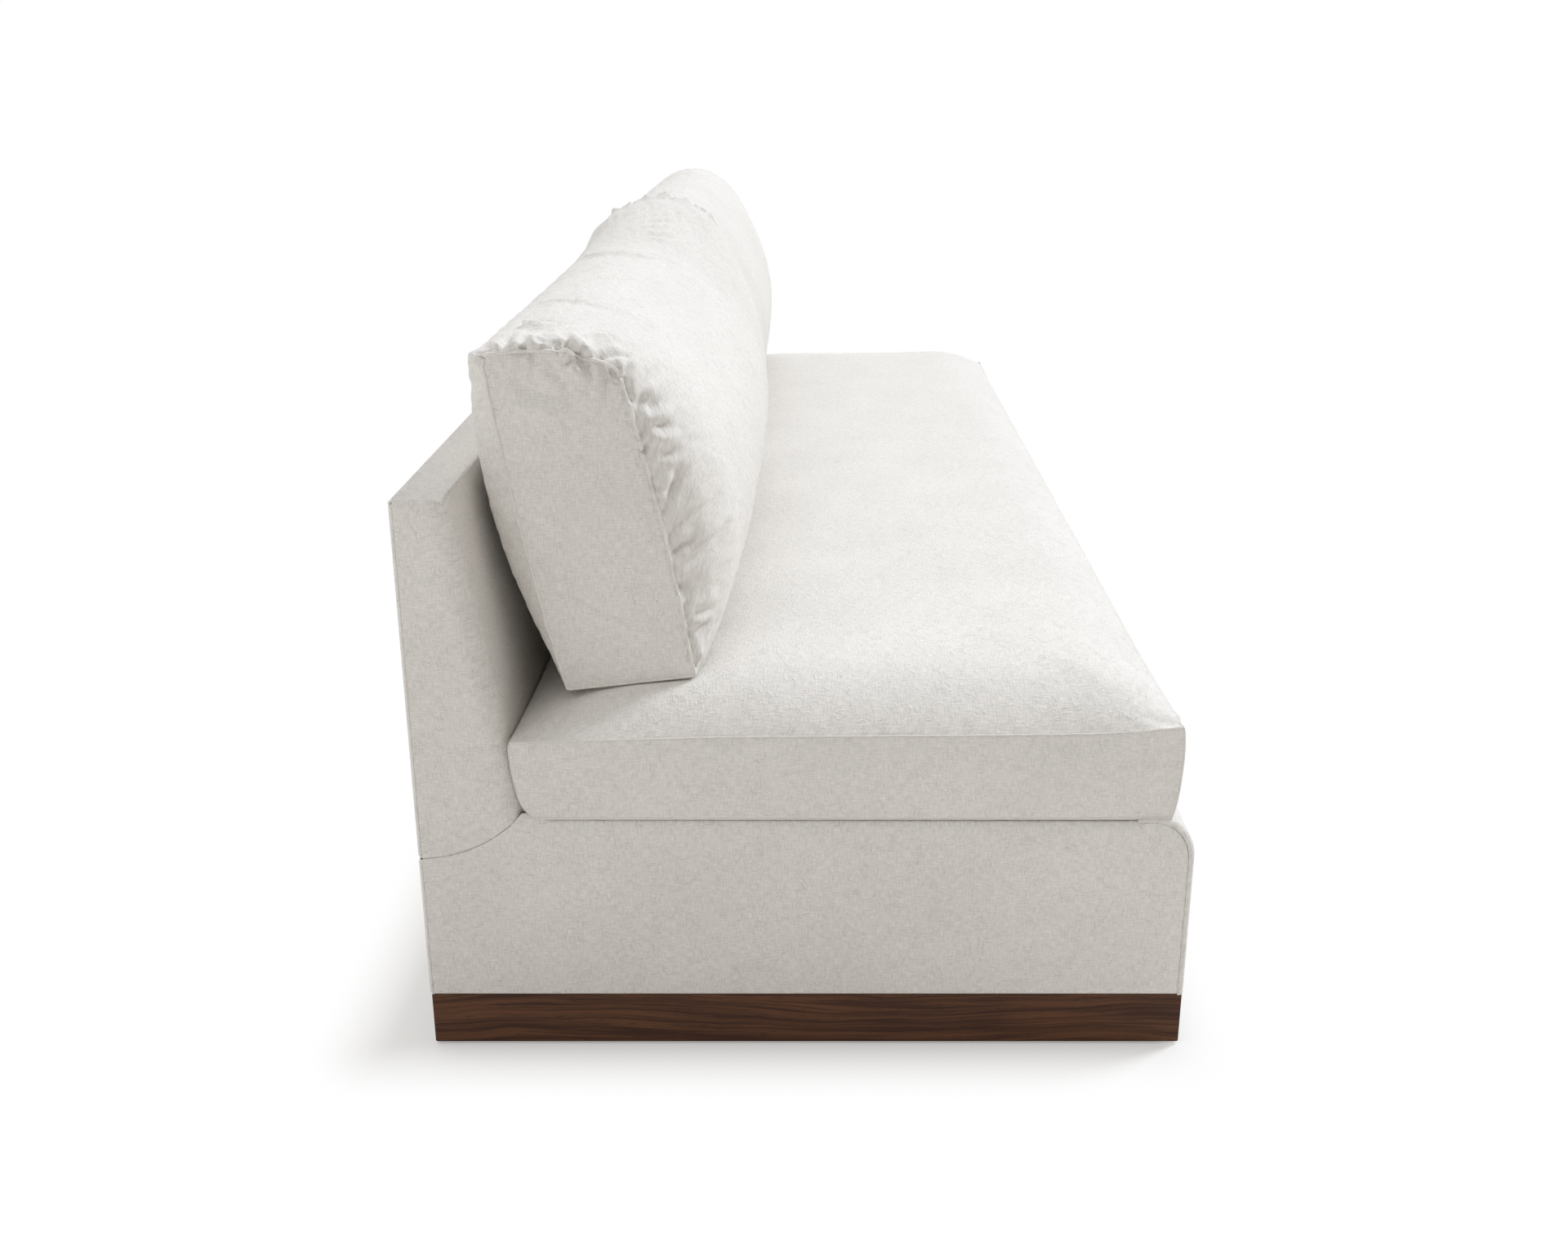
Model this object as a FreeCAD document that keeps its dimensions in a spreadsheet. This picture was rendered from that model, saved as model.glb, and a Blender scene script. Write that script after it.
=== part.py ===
import FreeCAD
import Part
import math
import os
import Sketcher
from types import SimpleNamespace

# Armless settee with one bench seat cushion, two loose back cushions and a plinth.
# X runs along the length, Y from the front (-) to the rear (+), Z up from the floor. Millimetres.

DOC = FreeCAD.newDocument("armless_settee")
VECTOR = FreeCAD.Vector

# Driving sizes, one named cell each
SIZES = (
    ("overall_length", 2130),
    ("overall_depth", 932),
    ("cover_thickness", 2),
    ("end_wadding", 8),
    ("rear_wadding", 6),
    ("front_foam", 22),
    # plinth
    ("glide_height", 3),
    ("glide_radius", 14),
    ("plinth_height", 69),
    ("plinth_board", 40),
    ("plinth_inset", 2),
    ("plinth_block_length", 90),
    ("plinth_brace_width", 28),
    ("plinth_brace_rise", 18),
    ("dust_cover_thickness", 1),
    # upholstered base
    ("base_height", 250),
    ("rail_thickness", 28),
    ("spring_rail_depth", 112),
    ("stretcher_height", 150),
    ("base_block_length", 100),
    ("base_block_height", 60),
    ("front_roll_radius", 60),
    ("deck_pad_thickness", 20),
    ("insulator_thickness", 3),
    ("spring_wire", 4),
    ("spring_bar", 36),
    ("spring_count", 10),
    ("spring_bars", 16),
    ("spring_spacing", 200),
    ("clip_thickness", 1.5),
    ("clip_width", 14),
    ("clip_length", 20),
    ("clip_gap", 0.3),
    # upholstered back
    ("back_rise", 390),
    ("back_base_thickness", 128),
    ("back_top_thickness", 64),
    ("seam_drop", 60),
    ("back_foam_thickness", 23),
    ("back_top_wadding", 8),
    ("post_width", 30),
    ("inner_post_spacing", 680),
    ("top_rail_thickness", 22),
    ("lower_rail_height", 60),
    ("lower_rail_depth", 40),
    ("lower_rail_lift", 10),
    ("webbing_thickness", 2),
    ("webbing_width", 50),
    ("webbing_pitch", 85),
    ("webbing_lift", 30),
    # fasteners
    ("screw_radius", 3),
    ("screw_head_radius", 6),
    ("screw_head_height", 5),
    ("screw_length", 80),
    ("screw_counterbore", 30),
    ("screw_spacing", 600),
    ("screw_end_spacing", 400),
    ("bolt_radius", 4),
    ("bolt_head_radius", 7),
    ("bolt_head_height", 5),
    ("bolt_length", 72),
    ("bolt_counterbore", 6),
    ("bolt_low", 55),
    ("bolt_pitch", 100),
    ("dowel_radius", 5),
    ("dowel_length", 40),
    ("dowel_in_rail", 15),
    ("hole_gap", 0.1),
    # bench seat cushion
    ("seat_end_inset", 5),
    ("seat_setback", 26),
    ("seat_foot_tuck", 6),
    ("seat_draw_in", 8),
    ("seat_boxing", 110),
    ("seat_rear_drop", 10),
    ("seat_crown", 48),
    ("seat_front_bow", 6),
    ("seat_front_shoulder", 110),
    ("seat_front_shoulder_bow", 14),
    ("seat_rear_shoulder", 230),
    ("seat_rear_shoulder_bow", 10),
    ("seat_top_bow", 9),
    ("seat_back_gap", 3),
    ("rest_gap", 0.4),
    # back cushions
    ("cushion_end_inset", 72),
    ("cushion_gap", 6),
    ("cushion_height", 386),
    ("cushion_lift", 34),
    ("cushion_foot_thickness", 152),
    ("cushion_head_thickness", 178),
    ("cushion_head_skew", 16),
    ("cushion_lean", 11.5),
    ("cushion_front_bow", 78),
    ("cushion_top_bow", 46),
    ("cushion_back_gap", 1.4),
    # cushion casings and zips
    ("casing_thickness", 3),
    ("casing_zip_wall", 8),
    ("filling_gap", 0.4),
    ("zip_channel_width", 24),
    ("zip_channel_depth", 4.5),
    ("zip_tape_thickness", 1.6),
    ("zip_side_gap", 0.2),
    ("zip_slider_width", 9),
    ("zip_slider_length", 12),
    ("zip_slider_thickness", 2.2),
    ("zip_pull_width", 5),
    ("zip_pull_length", 22),
    ("zip_pull_thickness", 1.2),
    ("zip_run_gap", 0.3),
    ("zip_end_margin", 10),
    ("seat_zip_length", 1500),
    ("cushion_zip_length", 800),
)

SHEET = DOC.addObject("Spreadsheet::Sheet", "Sizes")
for row, (alias, number) in enumerate(SIZES, start=1):
    SHEET.set(f"A{row}", alias)
    SHEET.set(f"B{row}", str(number))
    SHEET.setAlias(f"B{row}", alias)
DERIVED = DOC.addObject("App::VarSet", "Derived")
DOC.recompute()
s = SimpleNamespace(**{alias: "Sizes." + alias for alias, number in SIZES})
NODES = []


def derive(name, expression):
    """Keep one worked-out size under its own name, bound to the driving sizes."""
    DERIVED.addProperty("App::PropertyFloat", name)
    DERIVED.setExpression(name, expression)
    DERIVED.recompute()
    return "Derived." + name


def value(expression):
    """Read the present number behind an expression."""
    result = DERIVED.evalExpression(expression)
    return float(getattr(result, "Value", result))


def bind(item, bindings):
    """Bind properties of an object to expressions."""
    for name, expression in bindings.items():
        item.setExpression(name, str(expression))


def node(item, label):
    """Name an object as one sub-part of the settee."""
    item.Label = label
    NODES.append(item)
    return item


def box(label, x0, x1, y0, y1, z0, z1):
    """A square-cornered block between six faces."""
    item = DOC.addObject("Part::Box", label)
    bind(item, {
        "Length": f"{x1} - ({x0})",
        "Width": f"{y1} - ({y0})",
        "Height": f"{z1} - ({z0})",
        "Placement.Base.x": x0,
        "Placement.Base.y": y0,
        "Placement.Base.z": z0,
    })
    return item


def cylinder(label, radius, height, x, y, z, along_depth=False):
    """A round bar standing up, or lying along the depth."""
    item = DOC.addObject("Part::Cylinder", label)
    if along_depth:
        item.Placement = FreeCAD.Placement(VECTOR(), FreeCAD.Rotation(VECTOR(1, 0, 0), -90))
    bind(item, {
        "Radius": radius,
        "Height": height,
        "Placement.Base.x": x,
        "Placement.Base.y": y,
        "Placement.Base.z": z,
    })
    return item


def group(label, pieces):
    """Several separate solids under one name."""
    item = DOC.addObject("Part::Compound", label)
    item.Links = pieces
    return item


def fuse(label, pieces):
    """Several touching solids made one."""
    item = DOC.addObject("Part::MultiFuse", label)
    item.Shapes = pieces
    return item


def cut(label, base, tool):
    """One solid with another taken away."""
    item = DOC.addObject("Part::Cut", label)
    item.Base = base
    item.Tool = tool
    return item


def mirror(label, source):
    """The same piece at the other end of the length."""
    item = DOC.addObject("Part::Mirroring", label)
    item.Source = source
    item.Normal = VECTOR(1, 0, 0)
    return item


def bow(start, end, rise):
    """Radius of the arc over a chord with a given rise."""
    chord = f"((({end[0]}) - ({start[0]}))^2 + (({end[1]}) - ({start[1]}))^2)"
    return f"{chord} / (8 * ({rise})) + ({rise}) / 2"


def arc_between(start, end, radius, outward):
    """Arc of under half a turn from start to end, bulging left of travel when outward."""
    chord = end - start
    left = VECTOR(-chord.y, chord.x, 0).normalize()
    reach = math.sqrt(radius ** 2 - chord.Length ** 2 / 4)
    side = -1 if outward else 1
    centre = (start + end) * 0.5 + left * reach * side
    first, last = (end, start) if outward else (start, end)
    angles = [math.atan2(p.y - centre.y, p.x - centre.x) for p in (first, last)]
    circle = Part.Circle(centre, VECTOR(0, 0, 1), radius)
    return Part.ArcOfCircle(circle, angles[0], angles[1])


def draw(sketch, corners, arcs):
    """Draw a closed outline whose corners and radii are bound to sizes."""
    points = [VECTOR(value(a), value(b), 0) for a, b in corners]
    count = len(points)
    ends = []
    for index, start in enumerate(points):
        end = points[(index + 1) % count]
        if index in arcs:
            radius, outward = arcs[index]
            sketch.addGeometry(arc_between(start, end, value(radius), outward))
            ends.append((2, 1) if outward else (1, 2))
        else:
            sketch.addGeometry(Part.LineSegment(start, end))
            ends.append((1, 2))
    constraints = []
    bindings = []
    for index in range(count):
        after = (index + 1) % count
        constraints.append(Sketcher.Constraint("Coincident", index, ends[index][1], after, ends[after][0]))
        bindings.append(None)
    for index, (across, up) in enumerate(corners):
        first = ends[index][0]
        constraints.append(Sketcher.Constraint("DistanceX", -1, 1, index, first, points[index].x))
        bindings.append(across)
        constraints.append(Sketcher.Constraint("DistanceY", -1, 1, index, first, points[index].y))
        bindings.append(up)
    for index, (radius, outward) in arcs.items():
        constraints.append(Sketcher.Constraint("Radius", index, value(radius)))
        bindings.append(radius)
    sketch.addConstraint(constraints)
    for index, expression in enumerate(bindings):
        if expression is not None:
            sketch.setExpression(f"Constraints[{index}]", str(expression))


def body_from(label, plane_role, corners, length, arcs):
    """A body padded from one outline on a plane of its own origin."""
    body = DOC.addObject("PartDesign::Body", label)
    sketch = body.newObject("Sketcher::SketchObject", label + "_outline")
    plane = [item for item in body.Origin.OriginFeatures if item.Role == plane_role][0]
    sketch.AttachmentSupport = (plane, [""])
    sketch.MapMode = "FlatFace"
    draw(sketch, corners, arcs)
    pad = body.newObject("PartDesign::Pad", label + "_pad")
    pad.Profile = sketch
    bind(pad, {"Length": length})
    return body


def profile(label, x0, x1, corners, arcs=None):
    """An outline in depth and height carried along the length from x0 to x1."""
    body = body_from(label, "YZ_Plane", corners, f"{x1} - ({x0})", arcs or {})
    bind(body, {"Placement.Base.x": x0})
    return body


def plan(label, z0, z1, corners):
    """An outline in length and depth carried up from z0 to z1."""
    body = body_from(label, "XY_Plane", corners, f"{z1} - ({z0})", {})
    bind(body, {"Placement.Base.z": z0})
    return body


def section(label, x, corners, arcs):
    """One cross-section of a cushion, standing across the length."""
    sketch = DOC.addObject("Sketcher::SketchObject", label)
    sketch.Placement = FreeCAD.Placement(VECTOR(), FreeCAD.Rotation(VECTOR(1, 1, 1), 120))
    draw(sketch, corners, arcs)
    bind(sketch, {"Placement.Base.x": x})
    return sketch


def loft(label, sections):
    """A solid stretched through cross-sections."""
    item = DOC.addObject("Part::Loft", label)
    item.Sections = sections
    item.Solid = True
    item.Ruled = True
    return item


def both_ends(pieces):
    """Each of some pieces and its mirror at the other end."""
    return pieces + [mirror(piece.Name + "_mirrored", piece) for piece in pieces]


# Faces of the layers, from the skin inwards
half_length = derive("half_length", f"{s.overall_length} / 2")
half_depth = derive("half_depth", f"{s.overall_depth} / 2")
inner_post_line = derive("inner_post_line", f"{s.inner_post_spacing} / 2")
cover_end = derive("cover_end", f"{half_length} - {s.cover_thickness}")
cover_rear = derive("cover_rear", f"{half_depth} - {s.cover_thickness}")
frame_end = derive("frame_end", f"{cover_end} - {s.end_wadding}")
frame_rear = derive("frame_rear", f"{cover_rear} - {s.rear_wadding}")
frame_front = derive("frame_front", f"{s.front_foam} - {cover_rear}")
rail_end = derive("rail_end", f"{frame_end} - {s.rail_thickness}")
rail_front = derive("rail_front", f"{frame_front} + {s.rail_thickness}")
rail_rear = derive("rail_rear", f"{frame_rear} - {s.rail_thickness}")

# Heights of the layers, from the floor up
plinth_top = derive("plinth_top", f"{s.glide_height} + {s.plinth_height}")
rail_bottom = derive("rail_bottom", f"{plinth_top} + {s.dust_cover_thickness}")
deck_top = derive("deck_top", f"{plinth_top} + {s.base_height}")
deck_skin = derive("deck_skin", f"{deck_top} - {s.cover_thickness}")
pad_bottom = derive("pad_bottom", f"{deck_skin} - {s.deck_pad_thickness}")
insulator_bottom = derive("insulator_bottom", f"{pad_bottom} - {s.insulator_thickness}")
spring_bottom = derive("spring_bottom", f"{insulator_bottom} - {s.spring_wire}")
rail_top = derive("rail_top", f"{spring_bottom} - {s.clip_thickness}")
back_top = derive("back_top", f"{deck_top} + {s.back_rise}")
back_skin = derive("back_skin", f"{back_top} - {s.cover_thickness}")
top_rail_top = derive("top_rail_top", f"{back_skin} - {s.back_top_wadding}")
post_top = derive("post_top", f"{top_rail_top} - {s.top_rail_thickness}")
roll_low = derive("roll_low", f"{deck_top} - {s.front_roll_radius}")
seam_low = derive("seam_low", f"{deck_top} - {s.seam_drop}")

# The raked inner face of the back, and the layers behind it
back_slope = derive("back_slope", f"({s.back_base_thickness} - {s.back_top_thickness}) / {s.back_rise}")
back_foot = derive("back_foot", f"{half_depth} - {s.back_base_thickness}")
foam_depth = derive("foam_depth", f"{s.cover_thickness} + {s.back_foam_thickness}")
post_depth = derive("post_depth", f"{foam_depth} + {s.webbing_thickness}")
post_face = derive("post_face", f"{back_foot} + {post_depth}")
spring_rail_front = derive("spring_rail_front", f"{post_face} - {s.rail_thickness}")


def back_line(z, depth):
    """Depth position, at one height, of a layer so far behind the raked inner face."""
    return f"({back_foot} + {back_slope} * ({z} - {deck_top}) + ({depth}))"


# Plinth of four mitred boards on glides
plinth_end = derive("plinth_end", f"{half_length} - {s.plinth_inset}")
plinth_side = derive("plinth_side", f"{half_depth} - {s.plinth_inset}")
plinth_inner_end = derive("plinth_inner_end", f"{plinth_end} - {s.plinth_board}")
plinth_inner_side = derive("plinth_inner_side", f"{plinth_side} - {s.plinth_board}")


def plinth_board(label, corners):
    """One mitred board of the plinth."""
    return plan(label, s.glide_height, plinth_top, corners)


plinth_front = plinth_board("plinth_front_blank", [
    (f"-{plinth_end}", f"-{plinth_side}"),
    (plinth_end, f"-{plinth_side}"),
    (plinth_inner_end, f"-{plinth_inner_side}"),
    (f"-{plinth_inner_end}", f"-{plinth_inner_side}"),
])
plinth_rear = plinth_board("plinth_rear_blank", [
    (plinth_end, plinth_side),
    (f"-{plinth_end}", plinth_side),
    (f"-{plinth_inner_end}", plinth_inner_side),
    (plinth_inner_end, plinth_inner_side),
])
plinth_right = plinth_board("plinth_right_blank", [
    (plinth_end, f"-{plinth_side}"),
    (plinth_end, plinth_side),
    (plinth_inner_end, plinth_inner_side),
    (plinth_inner_end, f"-{plinth_inner_side}"),
])
plinth_left = mirror("plinth_left_blank", plinth_right)

# Screws up through the plinth into the rails of the base
front_screw_line = derive("front_screw_line", f"({frame_front} - {plinth_inner_side}) / 2")
rear_screw_line = derive("rear_screw_line", f"{frame_rear} - {s.rail_thickness} / 2")
end_screw_line = derive("end_screw_line", f"{frame_end} - {s.rail_thickness} / 2")
screw_seat = derive("screw_seat", f"{s.glide_height} + {s.screw_counterbore}")
screw_places = []
for line in (front_screw_line, rear_screw_line):
    for step in (-1.5, -0.5, 0.5, 1.5):
        screw_places.append((f"{step} * {s.screw_spacing}", line))
for sign in (-1, 1):
    for step in (-0.5, 0.5):
        screw_places.append((f"{sign} * {end_screw_line}", f"{step} * {s.screw_end_spacing}"))
screws = []
screw_holes = []
for index, (x, y) in enumerate(screw_places):
    head = cylinder(f"screw_head_{index}", s.screw_head_radius, s.screw_head_height,
                    x, y, f"{screw_seat} - {s.screw_head_height}")
    shank = cylinder(f"screw_shank_{index}", s.screw_radius, s.screw_length, x, y, screw_seat)
    screws.append(fuse(f"screw_{index}", [head, shank]))
    bore = cylinder(f"screw_bore_{index}", f"{s.screw_head_radius} + {s.hole_gap}",
                    s.screw_counterbore, x, y, s.glide_height)
    pilot = cylinder(f"screw_pilot_{index}", f"{s.screw_radius} + {s.hole_gap}",
                     f"{s.screw_length} + {s.hole_gap}", x, y, screw_seat)
    screw_holes.append(fuse(f"screw_hole_{index}", [bore, pilot]))
screw_drill = group("screw_drill", screw_holes)
node(cut("plinth_front_board", plinth_front, screw_drill), "plinth_front_board")
node(cut("plinth_rear_board", plinth_rear, screw_drill), "plinth_rear_board")
node(cut("plinth_left_board", plinth_left, screw_drill), "plinth_left_board")
node(cut("plinth_right_board", plinth_right, screw_drill), "plinth_right_board")
node(group("plinth_screws", screws), "plinth_screws")

block_bottom = derive("block_bottom", f"{s.glide_height} + {s.plinth_brace_rise}")
block_end = derive("block_end", f"{plinth_inner_end} - {s.plinth_block_length}")
block_side = derive("block_side", f"{plinth_inner_side} - {s.plinth_block_length}")
plinth_blocks = [
    plan("plinth_block_front", block_bottom, plinth_top, [
        (plinth_inner_end, f"-{plinth_inner_side}"),
        (plinth_inner_end, f"-{block_side}"),
        (block_end, f"-{plinth_inner_side}"),
    ]),
    plan("plinth_block_rear", block_bottom, plinth_top, [
        (plinth_inner_end, plinth_inner_side),
        (block_end, plinth_inner_side),
        (plinth_inner_end, block_side),
    ]),
]
node(group("plinth_corner_blocks", both_ends(plinth_blocks)), "plinth_corner_blocks")
plinth_brace = box("plinth_brace", f"{inner_post_line} - {s.plinth_brace_width} / 2",
                   f"{inner_post_line} + {s.plinth_brace_width} / 2",
                   f"-{plinth_inner_side}", plinth_inner_side, block_bottom, plinth_top)
node(group("plinth_cross_braces", both_ends([plinth_brace])), "plinth_cross_braces")

glide_line = derive("glide_line", f"{plinth_side} - {s.plinth_board} / 2")
glide_end = derive("glide_end", f"{plinth_end} - {s.plinth_board}")
glides = []
for row, y in enumerate((f"-{glide_line}", glide_line)):
    for place, x in enumerate((glide_end, inner_post_line)):
        glides.append(cylinder(f"glide_{row}_{place}", s.glide_radius, s.glide_height, x, y, "0"))
node(group("floor_glides", both_ends(glides)), "floor_glides")

# Base frame of rails on the plinth
dust_sheet = box("dust_sheet", f"-{frame_end}", frame_end, frame_front, frame_rear, plinth_top, rail_bottom)
node(cut("dust_cover", dust_sheet, screw_drill), "dust_cover")
front_rail = box("front_rail", f"-{frame_end}", frame_end, frame_front, rail_front, rail_bottom, rail_top)
node(cut("base_front_rail", front_rail, screw_drill), "base_front_rail")
right_rail = box("right_rail", rail_end, frame_end, rail_front, post_face, rail_bottom, rail_top)
left_rail = mirror("left_rail", right_rail)
node(cut("base_left_rail", left_rail, screw_drill), "base_left_rail")
node(cut("base_right_rail", right_rail, screw_drill), "base_right_rail")
node(box("rear_spring_rail", f"-{rail_end}", rail_end, spring_rail_front, post_face,
         f"{rail_top} - {s.spring_rail_depth}", rail_top), "rear_spring_rail")
stretcher = box("stretcher", f"{inner_post_line} - {s.rail_thickness} / 2",
                f"{inner_post_line} + {s.rail_thickness} / 2",
                rail_front, spring_rail_front, rail_bottom, f"{rail_bottom} + {s.stretcher_height}")
node(group("base_stretchers", both_ends([stretcher])), "base_stretchers")
base_block_bottom = derive("base_block_bottom", f"{rail_top} - {s.base_block_height} - {s.clip_width}")
base_block_top = derive("base_block_top", f"{rail_top} - {s.clip_width}")
base_blocks = [
    plan("base_block_front", base_block_bottom, base_block_top, [
        (rail_end, rail_front),
        (rail_end, f"{rail_front} + {s.base_block_length}"),
        (f"{rail_end} - {s.base_block_length}", rail_front),
    ]),
    plan("base_block_rear", base_block_bottom, base_block_top, [
        (rail_end, spring_rail_front),
        (f"{rail_end} - {s.base_block_length}", spring_rail_front),
        (rail_end, f"{spring_rail_front} - {s.base_block_length}"),
    ]),
]
node(group("base_corner_blocks", both_ends(base_blocks)), "base_corner_blocks")

# Sinuous seat springs held in clips on the front rail and the spring rail
spring_front = derive("spring_front", f"{frame_front} + {s.rail_thickness} / 2")
spring_rear = derive("spring_rear", f"{post_face} - {s.rail_thickness} / 2")


def zigzag(x):
    """One flat zigzag wire from the front clip to the rear clip."""
    bars = round(value(s.spring_bars))
    height = value(f"{spring_bottom} + {s.spring_wire} / 2")
    first = value(spring_front)
    pitch = (value(spring_rear) - first) / (bars - 1)
    half_bar = value(s.spring_bar) / 2
    turn = pitch / 2
    edges = []
    for bar in range(bars):
        y = first + bar * pitch
        side = 1 if bar % 2 == 0 else -1
        start = VECTOR(x - side * half_bar, y, height)
        end = VECTOR(x + side * half_bar, y, height)
        edges.append(Part.LineSegment(start, end).toShape())
        if bar < bars - 1:
            outer = end + VECTOR(side * turn, turn, 0)
            finish = end + VECTOR(0, pitch, 0)
            slant = turn * math.sqrt(0.5)
            early = VECTOR(end.x + side * slant, end.y + turn - slant, height)
            late = VECTOR(end.x + side * slant, end.y + turn + slant, height)
            edges.append(Part.Arc(end, early, outer).toShape())
            edges.append(Part.Arc(outer, late, finish).toShape())
    path = Part.Wire(edges)
    start = path.OrderedVertexes[0].Point
    ring = Part.Circle(start, VECTOR(1, 0, 0), value(s.spring_wire) / 2)
    return path.makePipeShell([Part.Wire(ring.toShape())], True, False)


spring_total = round(value(s.spring_count))
spring_places = [(step - (spring_total - 1) / 2) * value(s.spring_spacing) for step in range(spring_total)]
springs = DOC.addObject("Part::Feature", "seat_springs")
springs.Shape = Part.makeCompound([zigzag(x) for x in spring_places])
springs.Placement = FreeCAD.Placement()
node(springs, "seat_springs")


def clip_strip(label, y):
    """A channel that holds the end bars of the springs along one rail."""
    slot = f"({s.spring_wire} / 2 + {s.clip_gap})"
    half = f"({s.clip_width} / 2)"
    return profile(label, f"-{rail_end}", rail_end, [
        (f"{y} - {half}", rail_top),
        (f"{y} - {half}", insulator_bottom),
        (f"{y} - {slot}", insulator_bottom),
        (f"{y} - {slot}", spring_bottom),
        (f"{y} + {slot}", spring_bottom),
        (f"{y} + {slot}", insulator_bottom),
        (f"{y} + {half}", insulator_bottom),
        (f"{y} + {half}", rail_top),
    ])


clip_strips = group("clip_strips", [clip_strip("clip_strip_front", spring_front),
                                    clip_strip("clip_strip_rear", spring_rear)])
clip_windows = []
for step in range(spring_total):
    middle = f"({step} - ({s.spring_count} - 1) / 2) * {s.spring_spacing}"
    clip_windows.append(box(f"clip_window_{step}", f"{middle} - {s.clip_length} / 2",
                            f"{middle} + {s.clip_length} / 2", frame_front, post_face,
                            rail_top, insulator_bottom))
spring_clips = DOC.addObject("Part::Common", "spring_clips")
spring_clips.Base = clip_strips
spring_clips.Tool = group("clip_windows", clip_windows)
node(spring_clips, "spring_clips")

# Deck layers and base padding
node(box("spring_insulator", f"-{frame_end}", frame_end, frame_front, post_face,
         insulator_bottom, pad_bottom), "spring_insulator")
roll_rear = derive("roll_rear", f"{s.front_roll_radius} - {half_depth}")
node(box("deck_pad", f"-{frame_end}", frame_end, roll_rear, post_face, pad_bottom, deck_skin), "deck_pad")
node(box("deck_cover", f"-{cover_end}", cover_end, roll_rear, post_face, deck_skin, deck_top), "deck_cover")
inner_roll = derive("inner_roll", f"{s.front_roll_radius} - {s.cover_thickness}")
node(profile("front_edge_foam", f"-{frame_end}", frame_end, [
    (f"-{cover_rear}", rail_bottom),
    (f"-{cover_rear}", roll_low),
    (roll_rear, deck_skin),
    (roll_rear, pad_bottom),
    (frame_front, pad_bottom),
    (frame_front, rail_bottom),
], {1: (inner_roll, True)}), "front_edge_foam")
node(profile("base_front_cover", f"-{cover_end}", cover_end, [
    (f"-{half_depth}", plinth_top),
    (f"-{half_depth}", roll_low),
    (roll_rear, deck_top),
    (roll_rear, deck_skin),
    (f"-{cover_rear}", roll_low),
    (f"-{cover_rear}", plinth_top),
], {1: (s.front_roll_radius, True), 3: (inner_roll, False)}), "base_front_cover")
base_end_wadding = profile("base_end_wadding", frame_end, cover_end, [
    (f"-{cover_rear}", rail_bottom),
    (f"-{cover_rear}", roll_low),
    (roll_rear, deck_skin),
    (post_face, deck_skin),
    (post_face, deck_top),
    (cover_rear, deck_top),
    (cover_rear, rail_bottom),
], {1: (inner_roll, True)})
node(base_end_wadding, "base_right_wadding")
node(mirror("base_left_wadding", base_end_wadding), "base_left_wadding")
node(box("base_rear_cover", f"-{cover_end}", cover_end, cover_rear, half_depth, plinth_top, seam_low),
     "base_rear_cover")

# The end covers meet along a seam that sweeps up from the rear edge to the deck
seam_radius = derive("seam_radius", f"({s.back_base_thickness}^2 + {s.seam_drop}^2) / (2 * {s.seam_drop})")
base_end_cover = profile("base_end_cover", cover_end, half_length, [
    (f"-{half_depth}", plinth_top),
    (f"-{half_depth}", roll_low),
    (roll_rear, deck_top),
    (back_foot, deck_top),
    (half_depth, seam_low),
    (half_depth, plinth_top),
], {1: (s.front_roll_radius, True), 3: (seam_radius, False)})
node(base_end_cover, "base_right_cover")
node(mirror("base_left_cover", base_end_cover), "base_left_cover")
back_end_cover = profile("back_end_cover", cover_end, half_length, [
    (back_foot, deck_top),
    (back_line(back_top, "0"), back_top),
    (half_depth, back_top),
    (half_depth, seam_low),
], {3: (seam_radius, True)})
node(back_end_cover, "back_right_cover")
node(mirror("back_left_cover", back_end_cover), "back_left_cover")

# Back frame of posts notched over the rear rail, with a top rail and lower rails
post_corners = [
    (rail_rear, rail_bottom),
    (post_face, rail_bottom),
    (post_face, deck_top),
    (back_line(post_top, post_depth), post_top),
    (frame_rear, post_top),
    (frame_rear, rail_top),
    (rail_rear, rail_top),
]
post_inner = derive("post_inner", f"{frame_end} - {s.post_width}")
inner_post_left = derive("inner_post_left", f"{inner_post_line} - {s.post_width} / 2")
inner_post_right = derive("inner_post_right", f"{inner_post_line} + {s.post_width} / 2")
end_post = profile("end_post", post_inner, frame_end, post_corners)
inner_post = profile("inner_post", inner_post_left, inner_post_right, post_corners)

end_post_line = derive("end_post_line", f"{frame_end} - {s.post_width} / 2")
bolt_seat = derive("bolt_seat", f"{frame_rear} - {s.bolt_counterbore}")
bolts = []
bolt_holes = []
bolt_places = [(x, level) for x in (end_post_line, inner_post_line) for level in (0, 1)]
for index, (x, level) in enumerate(bolt_places):
    z = f"{rail_bottom} + {s.bolt_low} + {level} * {s.bolt_pitch}"
    head = cylinder(f"bolt_head_{index}", s.bolt_head_radius, s.bolt_head_height, x, bolt_seat, z, True)
    shank = cylinder(f"bolt_shank_{index}", s.bolt_radius, s.bolt_length,
                     x, f"{bolt_seat} - {s.bolt_length}", z, True)
    bolts.append(fuse(f"bolt_{index}", [head, shank]))
    bore = cylinder(f"bolt_bore_{index}", f"{s.bolt_head_radius} + {s.hole_gap}",
                    s.bolt_counterbore, x, bolt_seat, z, True)
    pilot = cylinder(f"bolt_pilot_{index}", f"{s.bolt_radius} + {s.hole_gap}", f"{s.bolt_length} + {s.hole_gap}",
                     x, f"{bolt_seat} - {s.bolt_length} - {s.hole_gap}", z, True)
    bolt_holes.append(fuse(f"bolt_hole_{index}", [bore, pilot]))
bolt_drill = group("bolt_drill", both_ends(bolt_holes))
node(group("back_post_bolts", both_ends(bolts)), "back_post_bolts")

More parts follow.
